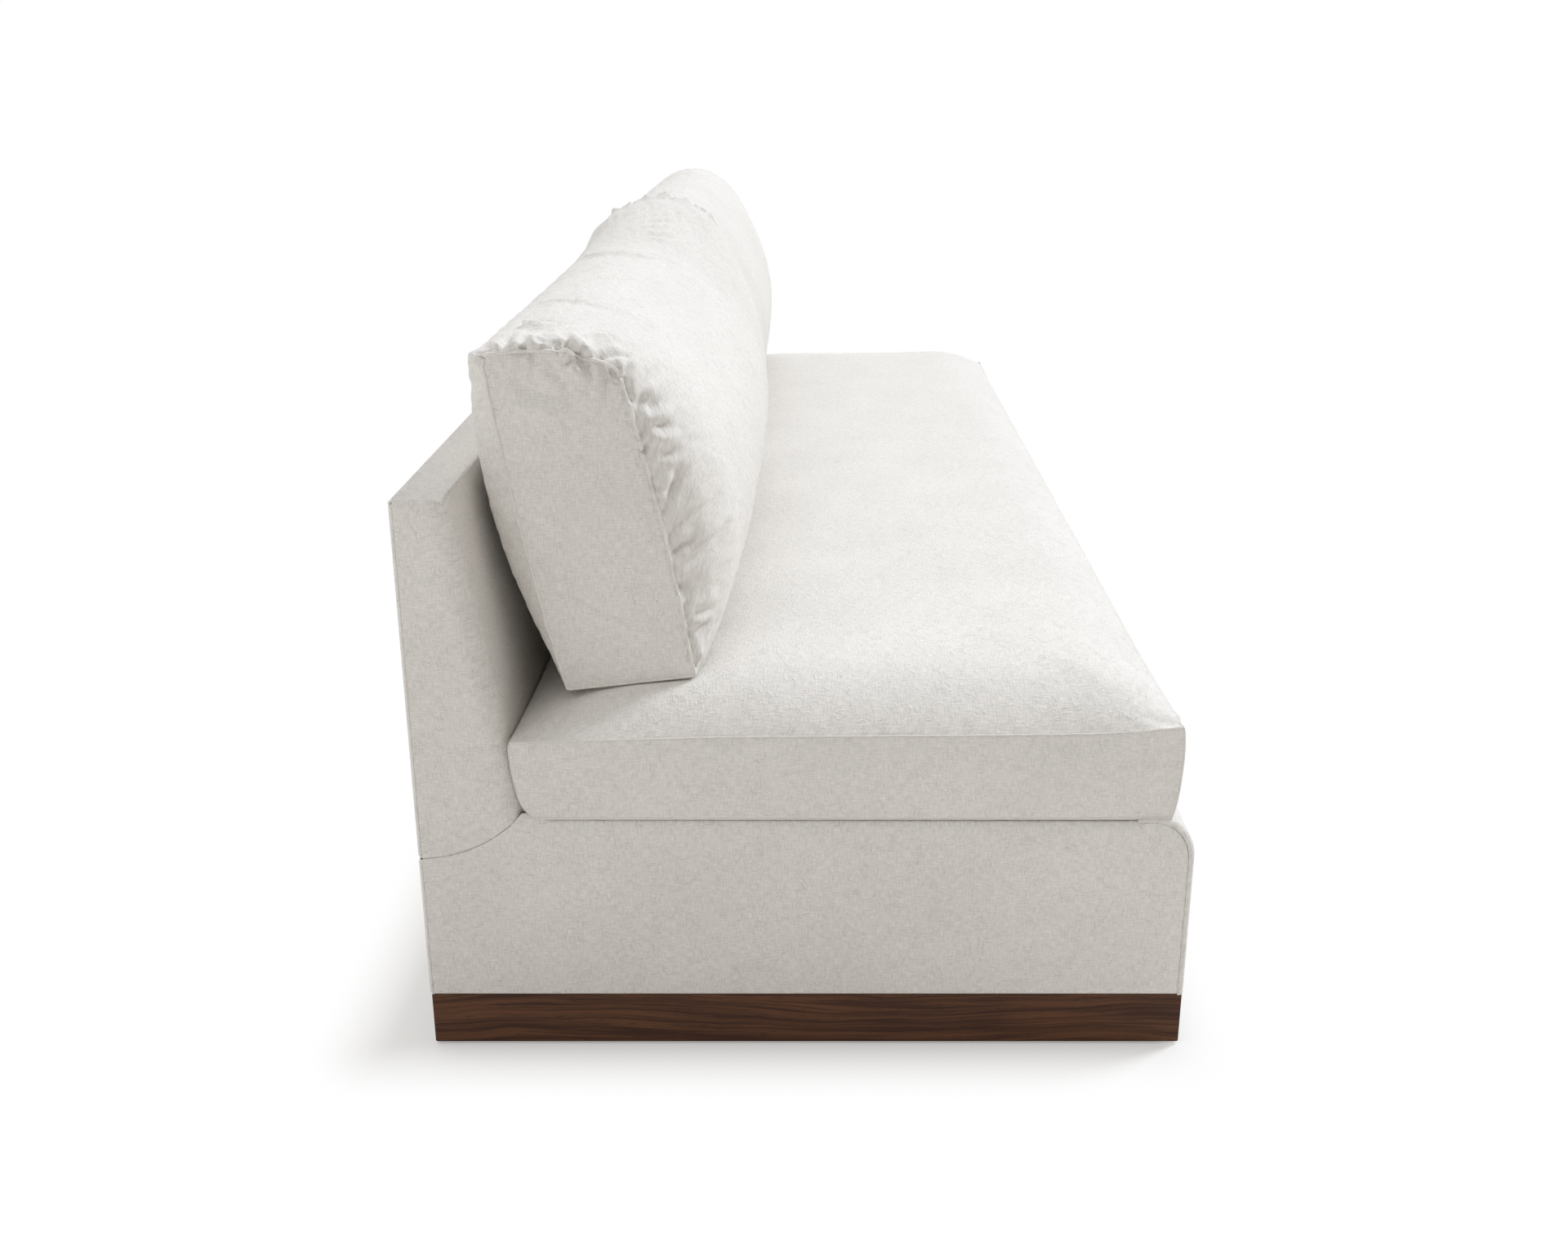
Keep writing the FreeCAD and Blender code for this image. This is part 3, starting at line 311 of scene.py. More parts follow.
class Wiring:
    """Adds nodes to one node tree and links them."""

    def __init__(self, tree: bpy.types.NodeTree) -> None:
        """Start on a tree."""
        self.tree = tree

    def add(self, kind: str, given: dict[str | int, Given] | None = None, **traits: object) -> bpy.types.Node:
        """Add one node.

        Args:
            kind: Node type.
            given: Socket values or links by socket name or number.
            **traits: Node properties.
        Returns:
            The node.
        """
        item = self.tree.nodes.new(kind)
        for name, trait in traits.items():
            setattr(item, name, trait)
        for name, value in (given or {}).items():
            if isinstance(value, bpy.types.NodeSocket):
                self.tree.links.new(value, item.inputs[name])
            else:
                item.inputs[name].default_value = value
        return item

    def math(self, operation: str, *given: Given) -> bpy.types.NodeSocket:
        """Work out one number from others."""
        return self.add("ShaderNodeMath", dict(enumerate(given)), operation=operation).outputs[0]

    def link(self, value: bpy.types.NodeSocket, socket: bpy.types.NodeSocket) -> None:
        """Carry a value to a socket."""
        self.tree.links.new(value, socket)

    def vector(self, operation: str, *given: Given) -> bpy.types.NodeSocket:
        """Work out one vector from others."""
        return self.add("ShaderNodeVectorMath", dict(enumerate(given)), operation=operation).outputs[0]

    def scaled(self, vector: Given, factor: Given) -> bpy.types.NodeSocket:
        """A place made larger or smaller all round."""
        return self.add("ShaderNodeVectorMath", {0: vector, 3: factor}, operation="SCALE").outputs[0]

    def fit(self, value: Given, low: float, high: float,
            to_low: float = 0.0, to_high: float = 1.0) -> bpy.types.NodeSocket:
        """Map a number smoothly from one range to another."""
        given = {"Value": value, "From Min": low, "From Max": high, "To Min": to_low, "To Max": to_high}
        return self.add("ShaderNodeMapRange", given, interpolation_type="SMOOTHSTEP").outputs[0]

    def blend(self, share: Given, first: Given, second: Given) -> bpy.types.NodeSocket:
        """Mix two colours."""
        return self.add("ShaderNodeMix", {0: share, 6: first, 7: second}, data_type="RGBA").outputs[2]

    def noise(self, vector: Given, scale: float, detail: float = 2.0, distortion: float = 0.0) -> bpy.types.NodeSocket:
        """Smooth noise over a place."""
        given = {"Vector": vector, "Scale": scale, "Detail": detail, "Distortion": distortion}
        return self.add("ShaderNodeTexNoise", given).outputs["Fac"]

    def streaks(self, vector: Given, factors: tuple[float, float, float], detail: float) -> bpy.types.NodeSocket:
        """Smooth noise over a place with each axis scaled."""
        return self.noise(self.vector("MULTIPLY", vector, factors), 1.0, detail)

    def emboss(self, shader: bpy.types.Node, height: Given, strength: float, distance: float) -> None:
        """Let a height stand out of a shader's surface."""
        bump = self.add("ShaderNodeBump", {"Height": height, "Strength": strength, "Distance": distance})
        self.link(bump.outputs[0], shader.inputs["Normal"])

    def looked_at(self) -> bpy.types.NodeSocket:
        """1 where the camera, a gloss or a glass looks straight at a surface, else 0.

        Returns:
            The mask.
        """
        rays = self.add("ShaderNodeLightPath").outputs
        through = self.math("MAXIMUM", rays["Is Glossy Ray"], rays["Is Transmission Ray"])
        return self.math("MAXIMUM", rays["Is Camera Ray"], through)


class Effect(Enum):
    """Shared surface effects, each one node group."""

    THREADS = "linen threads"
    CRINKLE = "washed crinkle"
    FLECKS = "linen flecks"
    FIGURE = "wood figure"
    CLOUDS = "tone clouds"

    def place(self, wires: Wiring, given: dict[str, Given]) -> bpy.types.Node:
        """Put this effect in a material.

        Args:
            wires: The material's wiring.
            given: Values or links for the group's inputs.
        Returns:
            The group node.
        """
        return wires.add("ShaderNodeGroup", given, node_tree=EFFECT_TREES[self])


def effect_tree(name: str, inputs: dict[str, float | None], outputs: Sequence[str]) -> tuple[Wiring, dict, dict]:
    """Start one effect's node group.

    Args:
        name: Group name.
        inputs: Input names with their usual number, or None for a place.
        outputs: Output names.
    Returns:
        The wiring, the input sockets and the output sockets inside the group.
    """
    tree = bpy.data.node_groups.new(name, "ShaderNodeTree")
    for label, usual in inputs.items():
        kind = "NodeSocketVector" if usual is None else "NodeSocketFloat"
        socket = tree.interface.new_socket(label, in_out="INPUT", socket_type=kind)
        if usual is not None:
            socket.default_value = usual
    for label in outputs:
        tree.interface.new_socket(label, in_out="OUTPUT", socket_type="NodeSocketFloat")
    start = tree.nodes.new("NodeGroupInput")
    end = tree.nodes.new("NodeGroupOutput")
    given = {label: start.outputs[label] for label in inputs}
    made = {label: end.inputs[label] for label in outputs}
    return Wiring(tree), given, made


def threads_tree() -> bpy.types.NodeTree:
    """Uneven linen yarns both ways: Tone varies about 0, Relief stands for the weave.

    Returns:
        The node group.
    """
    wires, given, made = effect_tree(Effect.THREADS.value, {"Place": None}, ("Tone", "Relief"))
    place = given["Place"]
    yarn_long, yarn_thick, slub_long, slub_thick = 95.0, 560.0, 46.0, 330.0
    weft = wires.streaks(place, (yarn_long, yarn_thick, 1.0), 2.0)
    warp = wires.streaks(place, (yarn_thick, yarn_long, 1.0), 2.0)
    slub_weft = wires.fit(wires.streaks(place, (slub_long, slub_thick, 1.0), 1.0), 0.62, 0.78)
    slub_warp = wires.fit(wires.streaks(place, (slub_thick, slub_long, 1.0), 1.0), 0.64, 0.80)
    yarns = wires.math("ADD", weft, warp)
    slubs = wires.math("ADD", slub_weft, slub_warp)
    fine = wires.math("SUBTRACT", yarns, 1.0)
    wires.link(wires.math("MULTIPLY_ADD", slubs, 0.20, fine), made["Tone"])
    wires.link(wires.math("MULTIPLY_ADD", slubs, 0.55, yarns), made["Relief"])
    return wires.tree


def crinkle_tree() -> bpy.types.NodeTree:
    """Short curly creases of washed linen, as a relief.

    Returns:
        The node group.
    """
    wires, given, made = effect_tree(Effect.CRINKLE.value, {"Place": None, "Density": 1.0}, ("Relief",))
    place = wires.scaled(given["Place"], given["Density"])
    total: Given = 0.0
    for scale, breaks, width, weight in ((52.0, 41.0, 0.05, 0.75), (93.0, 63.0, 0.06, 0.55)):
        line = wires.noise(place, scale, 1.0, 1.2)
        away = wires.math("ABSOLUTE", wires.math("SUBTRACT", line, 0.5))
        ridge = wires.fit(away, width, 0.0)
        broken = wires.fit(wires.noise(place, breaks, 1.0), 0.45, 0.56)
        total = wires.math("ADD", wires.math("MULTIPLY", wires.math("MULTIPLY", ridge, broken), weight), total)
    swell = wires.noise(place, 17.0, 3.0)
    wires.link(wires.math("MULTIPLY_ADD", swell, 0.4, total), made["Relief"])
    return wires.tree


def flecks_tree() -> bpy.types.NodeTree:
    """Sparse dark specks of plant fibre, as a mask.

    Returns:
        The node group.
    """
    wires, given, made = effect_tree(Effect.FLECKS.value, {"Place": None, "Size": 0.14}, ("Mask",))
    place = wires.vector("MULTIPLY", given["Place"], (1.0, 1.35, 1.0))
    cells = wires.add("ShaderNodeTexVoronoi", {"Vector": place, "Scale": 85.0, "Randomness": 1.0})
    dot = wires.fit(cells.outputs["Distance"], 0.13, 0.03)
    picked = wires.add("ShaderNodeSeparateColor", {0: cells.outputs["Color"]}).outputs[0]
    chosen = wires.math("LESS_THAN", picked, given["Size"])
    wires.link(wires.math("MULTIPLY", dot, chosen), made["Mask"])
    return wires.tree


def figure_tree() -> bpy.types.NodeTree:
    """Straight grain with drifting figure and open pores; U runs along the grain.

    Returns:
        The node group.
    """
    wires, given, made = effect_tree(Effect.FIGURE.value, {"Place": None, "Drift": 1.0}, ("Tone", "Pores"))
    drift = wires.streaks(given["Place"], (2.4, 9.0, 9.0), 3.0)
    sway = wires.math("MULTIPLY", wires.math("MULTIPLY", drift, 0.05), given["Drift"])
    shifted = wires.vector("ADD", given["Place"], wires.add("ShaderNodeCombineXYZ", {1: sway}).outputs[0])
    bands = wires.streaks(shifted, (3.0, 95.0, 95.0), 4.0)
    lines = wires.streaks(shifted, (7.0, 420.0, 420.0), 3.0)
    pores = wires.streaks(shifted, (55.0, 900.0, 900.0), 1.0)
    tone = wires.math("MULTIPLY_ADD", lines, 0.45, wires.math("MULTIPLY", bands, 0.55))
    wires.link(wires.fit(tone, 0.34, 0.66), made["Tone"])
    wires.link(wires.fit(pores, 0.60, 0.72), made["Pores"])
    return wires.tree


def clouds_tree() -> bpy.types.NodeTree:
    """Slow drift of tone over a surface, about 0.

    Returns:
        The node group.
    """
    wires, given, made = effect_tree(Effect.CLOUDS.value, {"Place": None, "Scale": 6.0}, ("Tone",))
    place = wires.scaled(given["Place"], given["Scale"])
    wires.link(wires.math("SUBTRACT", wires.noise(place, 1.0, 4.0), 0.5), made["Tone"])
    return wires.tree


EFFECT_TREES = {
    Effect.THREADS: threads_tree(),
    Effect.CRINKLE: crinkle_tree(),
    Effect.FLECKS: flecks_tree(),
    Effect.FIGURE: figure_tree(),
    Effect.CLOUDS: clouds_tree(),
}

Colour = tuple[float, float, float]


def start_material(name: str) -> tuple[bpy.types.Material, Wiring, bpy.types.Node]:
    """A new material with its main shader.

    Args:
        name: Material name.
    Returns:
        The material, its wiring and its shader node.
    """
    material = bpy.data.materials.new(name)
    material.use_nodes = True
    wires = Wiring(material.node_tree)
    return material, wires, material.node_tree.nodes["Principled BSDF"]


def shade(colour: Colour, share: float) -> tuple[float, float, float, float]:
    """A colour made lighter or darker by a share."""
    return (colour[0] * share, colour[1] * share, colour[2] * share, 1.0)


@dataclass(frozen=True)
class Linen:
    """Washed off-white linen."""

    name: str
    tint: Colour = (0.801, 0.766, 0.720)
    crinkle: float = 0.5
    density: float = 1.0
    relief: float = 0.0011
    fleck: float = 0.10
    fleck_tint: Colour = (0.42, 0.33, 0.24)
    weave: float = 0.40
    sheen: float = 0.12

    def make(self) -> bpy.types.Material:
        """Build the material.

        Returns:
            The material.
        """
        material, wires, shader = start_material(self.name)
        place = wires.add("ShaderNodeUVMap", uv_map=CLOTH_MAP).outputs[0]
        threads = Effect.THREADS.place(wires, {"Place": place})
        crinkle = Effect.CRINKLE.place(wires, {"Place": place, "Density": self.density})
        flecks = Effect.FLECKS.place(wires, {"Place": place, "Size": self.fleck})
        clouds = Effect.CLOUDS.place(wires, {"Place": place, "Scale": 7.0})
        tone = wires.math("MULTIPLY_ADD", clouds.outputs["Tone"], 0.4, threads.outputs["Tone"])
        share = wires.fit(tone, -0.6, 0.6)
        cloth = wires.blend(share, shade(self.tint, 0.84), shade(self.tint, 1.12))
        specks = wires.math("MULTIPLY", flecks.outputs["Mask"], 0.5)
        wires.link(wires.blend(specks, cloth, shade(self.fleck_tint, 1.0)), shader.inputs["Base Color"])
        rough = wires.fit(threads.outputs["Tone"], -0.5, 0.5, 0.94, 0.82)
        wires.link(rough, shader.inputs["Roughness"])
        weave = wires.math("MULTIPLY", threads.outputs["Relief"], self.weave)
        height = wires.math("MULTIPLY_ADD", crinkle.outputs["Relief"], self.crinkle, weave)
        wires.emboss(shader, height, 1.0, self.relief)
        shader.inputs["Sheen Weight"].default_value = self.sheen
        shader.inputs["Sheen Roughness"].default_value = 0.5
        shader.inputs["Specular IOR Level"].default_value = 0.2
        return material


@dataclass(frozen=True)
class Wood:
    """Grained wood, stained or bare."""

    name: str
    dark: Colour
    light: Colour
    mapped: bool = True
    roughness: float = 0.42
    pores: float = 0.7
    relief: float = 0.0004

    def make(self) -> bpy.types.Material:
        """Build the material.

        Returns:
            The material.
        """
        material, wires, shader = start_material(self.name)
        if self.mapped:
            place = wires.add("ShaderNodeUVMap", uv_map=CLOTH_MAP).outputs[0]
        else:
            place = wires.add("ShaderNodeTexCoord").outputs["Object"]
        figure = Effect.FIGURE.place(wires, {"Place": place})
        clouds = Effect.CLOUDS.place(wires, {"Place": place, "Scale": 9.0})
        tone = wires.math("MULTIPLY_ADD", clouds.outputs["Tone"], 0.35, figure.outputs["Tone"])
        wood = wires.blend(wires.fit(tone, 0.0, 1.0), shade(self.dark, 1.0), shade(self.light, 1.0))
        open_pores = wires.math("MULTIPLY", figure.outputs["Pores"], self.pores)
        wires.link(wires.blend(open_pores, wood, shade(self.dark, 0.45)), shader.inputs["Base Color"])
        rough = wires.fit(figure.outputs["Tone"], 0.0, 1.0, self.roughness + 0.1, self.roughness - 0.06)
        wires.link(rough, shader.inputs["Roughness"])
        height = wires.math("MULTIPLY_ADD", open_pores, -0.6, figure.outputs["Tone"])
        wires.emboss(shader, height, 0.6, self.relief)
        shader.inputs["Specular IOR Level"].default_value = 0.22
        return material


@dataclass(frozen=True)
class Plain:
    """A metal, plastic or underlay finish with a faint drift of tone and shine."""

    name: str
    tint: Colour
    metallic: float = 0.0
    roughness: float = 0.5
    grain: float = 300.0
    relief: float = 0.0001

    def make(self) -> bpy.types.Material:
        """Build the material.

        Returns:
            The material.
        """
        material, wires, shader = start_material(self.name)
        place = wires.add("ShaderNodeTexCoord").outputs["Object"]
        clouds = Effect.CLOUDS.place(wires, {"Place": place, "Scale": 22.0})
        fine = Effect.CLOUDS.place(wires, {"Place": place, "Scale": self.grain})
        tone = wires.math("MULTIPLY_ADD", fine.outputs["Tone"], 0.6, clouds.outputs["Tone"])
        share = wires.fit(tone, -0.4, 0.4)
        tint = wires.blend(share, shade(self.tint, 0.86), shade(self.tint, 1.1))
        wires.link(tint, shader.inputs["Base Color"])
        rough = wires.fit(tone, -0.4, 0.4, self.roughness * 1.12, self.roughness * 0.88)
        wires.link(rough, shader.inputs["Roughness"])
        wires.emboss(shader, fine.outputs["Tone"], 0.5, self.relief)
        shader.inputs["Metallic"].default_value = self.metallic
        return material


class Finish(Enum):
    """The finishes of the settee; each makes its material once."""

    SEAT_LINEN = Linen("seat_linen", crinkle=0.46)
    CUSHION_LINEN = Linen("cushion_linen", crinkle=0.40)
    TIGHT_LINEN = Linen("tight_linen", crinkle=0.5)
    CORD_LINEN = Linen("cord_linen", crinkle=0.1, relief=0.0004, fleck=0.0)
    WALNUT = Wood("walnut_stain", (0.039, 0.0125, 0.0045), (0.12, 0.045, 0.0165), roughness=0.48)
    TIMBER = Wood("bare_timber", (0.42, 0.27, 0.15), (0.62, 0.44, 0.27), mapped=False, roughness=0.6, pores=0.4)
    STEEL = Plain("spring_steel", (0.55, 0.55, 0.56), metallic=1.0, roughness=0.35)
    FIXINGS = Plain("plated_fixings", (0.62, 0.60, 0.55), metallic=1.0, roughness=0.3)
    ZIP_METAL = Plain("zip_brass", (0.60, 0.44, 0.22), metallic=1.0, roughness=0.28)
    ZIP_TAPE = Plain("zip_tape", (0.74, 0.71, 0.66), roughness=0.85, grain=900.0, relief=0.0003)
    GLIDE = Plain("glide_plastic", (0.05, 0.05, 0.05), roughness=0.5)
    UNDERLAY = Plain("dust_cloth", (0.045, 0.045, 0.047), roughness=0.95, grain=600.0, relief=0.0003)

    def material(self) -> bpy.types.Material:
        """The built material."""
        return bpy.data.materials.get(self.value.name) or self.value.make()


def dress(piece: bpy.types.Object, finish: Finish, body: Body, stands_for: Sequence[str] = ()) -> None:
    """Give a piece its finish, its body and the nodes that it stands for.

    Args:
        piece: The piece.
        finish: Its finish.
        body: Body that it rides on.
        stands_for: Nodes that it replaces.
    """
    piece.data.materials.clear()
    piece.data.materials.append(finish.material())
    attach(piece, body.value)
    if stands_for:
        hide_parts(*stands_for)
    LOG.info("%s: %d faces on %s", piece.name, len(piece.data.polygons), body.value)


# Soft filling


@dataclass(frozen=True)
class Filling:
    """How a cushion is filled: a cloth simulation whose result is kept."""

    pressure: float = 4.0
    frames: int = 14
    quality: int = 4
    bending: float = 0.25
    tension: float = 14.0
    ease: float = 0.14
    cap: float = 0.024
    unevenness: float = 0.0012
    ripple: float = 0.6
    mass: float = 0.25
    shear: float = 0.4

    @staticmethod
    def slow_part(mesh: bpy.types.Mesh, moved: np.ndarray, turns: int = 60) -> np.ndarray:
        """The part of a movement that changes slowly over a mesh.

        Args:
            mesh: The mesh.
            moved: Movement of each vertex.
            turns: How often it is averaged with its neighbours.
        Returns:
            The slow part.
        """
        pairs = np.zeros(len(mesh.edges) * 2, int)
        mesh.edges.foreach_get("vertices", pairs)
        first, second = pairs.reshape(-1, 2).T
        count = np.bincount(pairs, minlength=len(moved))[:, None]
        for _ in range(turns):
            total = np.zeros_like(moved)
            np.add.at(total, first, moved[second])
            np.add.at(total, second, moved[first])
            moved = 0.5 * moved + 0.5 * total / count
        return moved

    def swell(self, sewn: Sewn, ease: np.ndarray, hold: np.ndarray, seed: int) -> None:
        """Fill a closed casing.

        Args:
            sewn: The casing.
            ease: For each vertex, the share of extra cloth gathered there.
            hold: For each vertex, how firmly it keeps its place.
            seed: Picks the unevenness of the cloth.
        """
        piece = sewn.piece
        shape = sewn.read()
        uneven = np.random.default_rng(seed).normal(0.0, self.unevenness, len(shape))
        sewn.write(shape + sewn.normals() * (uneven * (1 - hold))[:, None])
        groups = {}
        for name, weights in (("ease", ease), ("hold", hold)):
            groups[name] = piece.vertex_groups.new(name=name)
            for number in np.nonzero(weights > 0.002)[0]:
                groups[name].add([int(number)], float(weights[number]), "REPLACE")
        cloth = piece.modifiers.new("Filling", "CLOTH")
        settings = cloth.settings
        settings.quality = self.quality
        settings.mass = self.mass
        settings.tension_stiffness = self.tension
        settings.compression_stiffness = self.tension
        settings.shear_stiffness = self.tension * self.shear
        settings.bending_stiffness = self.bending
        settings.use_pressure = True
        settings.uniform_pressure_force = self.pressure
        settings.effector_weights.gravity = 0.0
        settings.vertex_group_mass = "hold"
        settings.vertex_group_shrink = "ease"
        settings.shrink_min = 0.0
        settings.shrink_max = -self.ease
        cloth.collision_settings.use_collision = False
        cloth.collision_settings.use_self_collision = False
        cloth.point_cache.frame_start = 1
        cloth.point_cache.frame_end = self.frames
        scene = bpy.context.scene
        for number in range(1, self.frames + 1):
            scene.frame_set(number)
        filled = piece.evaluated_get(bpy.context.evaluated_depsgraph_get())
        flat = np.zeros(len(shape) * 3)
        filled.data.vertices.foreach_get("co", flat)
        moved = flat.reshape(-1, 3) - shape
        moved = self.ripple * (moved - self.slow_part(piece.data, moved))
        far = np.linalg.norm(moved, axis=1, keepdims=True)
        piece.modifiers.remove(cloth)
        piece.vertex_groups.clear()
        scene.frame_set(1)
        LOG.info("%s filled: moved %.1f mm at most, %.1f mm on average", piece.name,
                 far.max() * 1000, far.mean() * 1000)
        sewn.write(shape + moved * np.minimum(1.0, self.cap / np.maximum(far, 1e-9)))


@dataclass(frozen=True)
class Fold:
    """A crease pressed into cloth along a line, with a soft lip on one side."""

    line: tuple[tuple[float, float, float], ...]
    depth: float
    width: float
    lip: float = 0.6
    rise: float = 0.4

    def press(self, places: np.ndarray, normals: np.ndarray) -> np.ndarray:
        """How far each point moves.

        Args:
            places: Points of the cloth. normals: Their outward normals.
        Returns:
            Movement along each normal.
        """
        line = np.asarray(self.line, float)
        line = resample(line, np.linspace(0, 1, max(3, int(lengths(line)[-1] / 0.004))))
        reach = 4 * self.width
        near = np.all((places > line.min(0) - reach) & (places < line.max(0) + reach), axis=1)
        moved = np.zeros(len(places))
        numbers = np.nonzero(near)[0]
        if not len(numbers):
            return moved
        apart = places[numbers, None] - line[None]
        closest = np.argmin((apart ** 2).sum(-1), axis=1)
        nearest = apart[np.arange(len(numbers)), closest]
        ahead = np.gradient(line, axis=0)[closest]
        ahead /= np.linalg.norm(ahead, axis=1, keepdims=True)
        offset = nearest - ahead * (nearest * ahead).sum(1, keepdims=True)
        sideways = np.cross(ahead, normals[numbers])
        signed = (offset * sideways).sum(1) / self.width
        beyond = np.linalg.norm(nearest, axis=1) / self.width
        fade = np.exp(-np.maximum(beyond - np.abs(signed), 0) ** 2)
        share = closest / (len(line) - 1)
        taper = eased(share / self.rise) * eased((1 - share) / (1 - self.rise))
        valley = -np.exp(-signed ** 2) + self.lip * np.exp(-((signed - 1.9) / 1.3) ** 2)
        moved[numbers] = self.depth * valley * taper * fade
        return moved


def walk(tree: BVHTree, start: np.ndarray, direction: np.ndarray, length: float, bend: float = 0.0,
         step: float = 0.006) -> tuple[tuple[float, float, float], ...]:
    """A line along a surface.

    Args:
        tree: The surface.
        start: First point. direction: First direction.
        length: How far it goes. bend: Turn of the line, in radians per metre.
        step: Distance between points.
    Returns:
        Points of the line.
    """
    place, ahead = Vector(start), Vector(direction).normalized()
    points = []
    for _ in range(max(3, int(length / step))):
        found, normal, _, _ = tree.find_nearest(place)
        points.append(tuple(found))
        ahead = (ahead - normal * ahead.dot(normal)).normalized()
        ahead = (ahead + normal.cross(ahead) * bend * step).normalized()
        place = found + ahead * step
    return tuple(points)


@dataclass(frozen=True)
class Gathers:
    """Folds fanned out from the seam of a cushion's end panel."""

    seed: int
    top: int = 9
    front: int = 16
    rear: int = 9
    strength: float = 1.0

    def folds(self, tree: BVHTree, seam: np.ndarray, inward: int, wide: int, high: int) -> list[Fold]:
        """Lay out the folds of one end.

        Args:
            tree: Surface of the cushion.
            seam: Points of the seam: foot, rear, top, front in turn.
            inward: Direction from this end along the length, 1 or -1.
            wide: Steps across the foot and the top. high: Steps up the rear and the front.
        Returns:
            The folds.
        """
        dice = np.random.default_rng(self.seed)
        made = []

        def fan(first: int, steps: int, count: int, ahead: np.ndarray, sway: float, size: tuple[float, float],
                depth: float, width: float, offset: np.ndarray, phase: float = 0.5) -> None:
            """Fan folds out from one side of the seam.

            Args:
                first: Where the side starts. steps: Its steps. count: How many folds.
                ahead: Their direction. sway: How far it strays. size: Least and greatest length.
                depth: Their depth. width: Their width. offset: From the seam to where they start.
                phase: Where they stand between their neighbours.
            """
            for number in range(count):
                at = first + steps * (number + phase + dice.uniform(-0.28, 0.28)) / count
                start = seam[int(round(at)) % len(seam)] + offset
                aim = ahead + dice.normal(0, sway, 3)
                line = walk(tree, start, aim, dice.uniform(*size), dice.normal(0, 5), 0.005)
                made.append(Fold(line, depth * self.strength * dice.uniform(0.55, 1.25),
                                 width * dice.uniform(0.8, 1.3), dice.uniform(0.3, 0.9), 0.12))

        along = np.array([inward, 0.0, 0.0])
        none = np.zeros(3)
        rear, top, front = wide, wide + high, 2 * wide + high
        behind = Vector((inward * 0.016, 0.0, 0.0))
        ridge = [Vector(seam[(top + number) % len(seam)]) + behind for number in range(1, wide)]
        made.append(Fold(tuple(tuple(tree.find_nearest(point)[0]) for point in ridge),
                         -0.006 * self.strength, 0.011, 0.0, 0.5))
        fan(top, wide, self.top, along, 0.35, (0.03, 0.08), 0.0085, 0.0050, none)
        fan(top, wide, self.top, along, 0.25, (0.025, 0.05), -0.0050, 0.008, none, 1.0)
        fan(top, wide, self.top * 2, along, 0.6, (0.012, 0.04), 0.0042, 0.0034, none)
        fan(top, wide, self.top, np.array([0.0, 0.1, -1.0]), 0.3, (0.014, 0.045), 0.0036, 0.0044,
            np.array([-0.001 * inward, 0.0, -0.006]))
        fan(front, high, self.front, along + np.array([0.0, 0.0, 0.8]), 0.3, (0.03, 0.10), 0.0042, 0.0042, none)
        fan(front, high, self.front * 2, along + np.array([0.0, 0.0, 0.6]), 0.5, (0.012, 0.04), 0.0022, 0.0030, none)
        fan(front, high, self.front // 2, along, 0.3, (0.02, 0.05), -0.0030, 0.008, none)
        fan(rear, high, self.rear, along + np.array([0.0, 0.0, -0.3]), 0.35, (0.025, 0.07), 0.0030, 0.0050, none)
        return made


def open_placket(sewn: Sewn, zipper: str, axis: int, facing: int) -> None:
    """Press a placket into a cushion so that its zip shows.

    Args:
        sewn: The cushion.
        zipper: Node of the zip.
        axis: Axis that the zip faces along, 1 or 2. facing: Its direction, 1 or -1.
    """
    low, high = (np.array(corner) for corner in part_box(zipper))
    places, normals = sewn.read(), sewn.normals()
    outside = np.maximum(np.maximum(low - places, places - high), 0)
    outside[:, axis] = 0
    share = 1 - eased(np.linalg.norm(outside, axis=1) / 0.007)
    share *= normals[:, axis] * facing > 0.3
    floor = (low if facing > 0 else high)[axis] - facing * 0.0006
    places[:, axis] -= facing * np.maximum((places[:, axis] - floor) * facing, 0) * share
    sewn.write(places)


def press_folds(sewn: Sewn, folds: Sequence[Fold]) -> None:
    """Press folds into a piece.

    Args:
        sewn: The piece.
        folds: Its folds.
    """
    places, normals = sewn.read(), sewn.normals()
    moved = np.zeros(len(places))
    for fold in folds:
        moved += fold.press(places, normals)
    sewn.write(places + normals * moved[:, None])


# Sub-assemblies


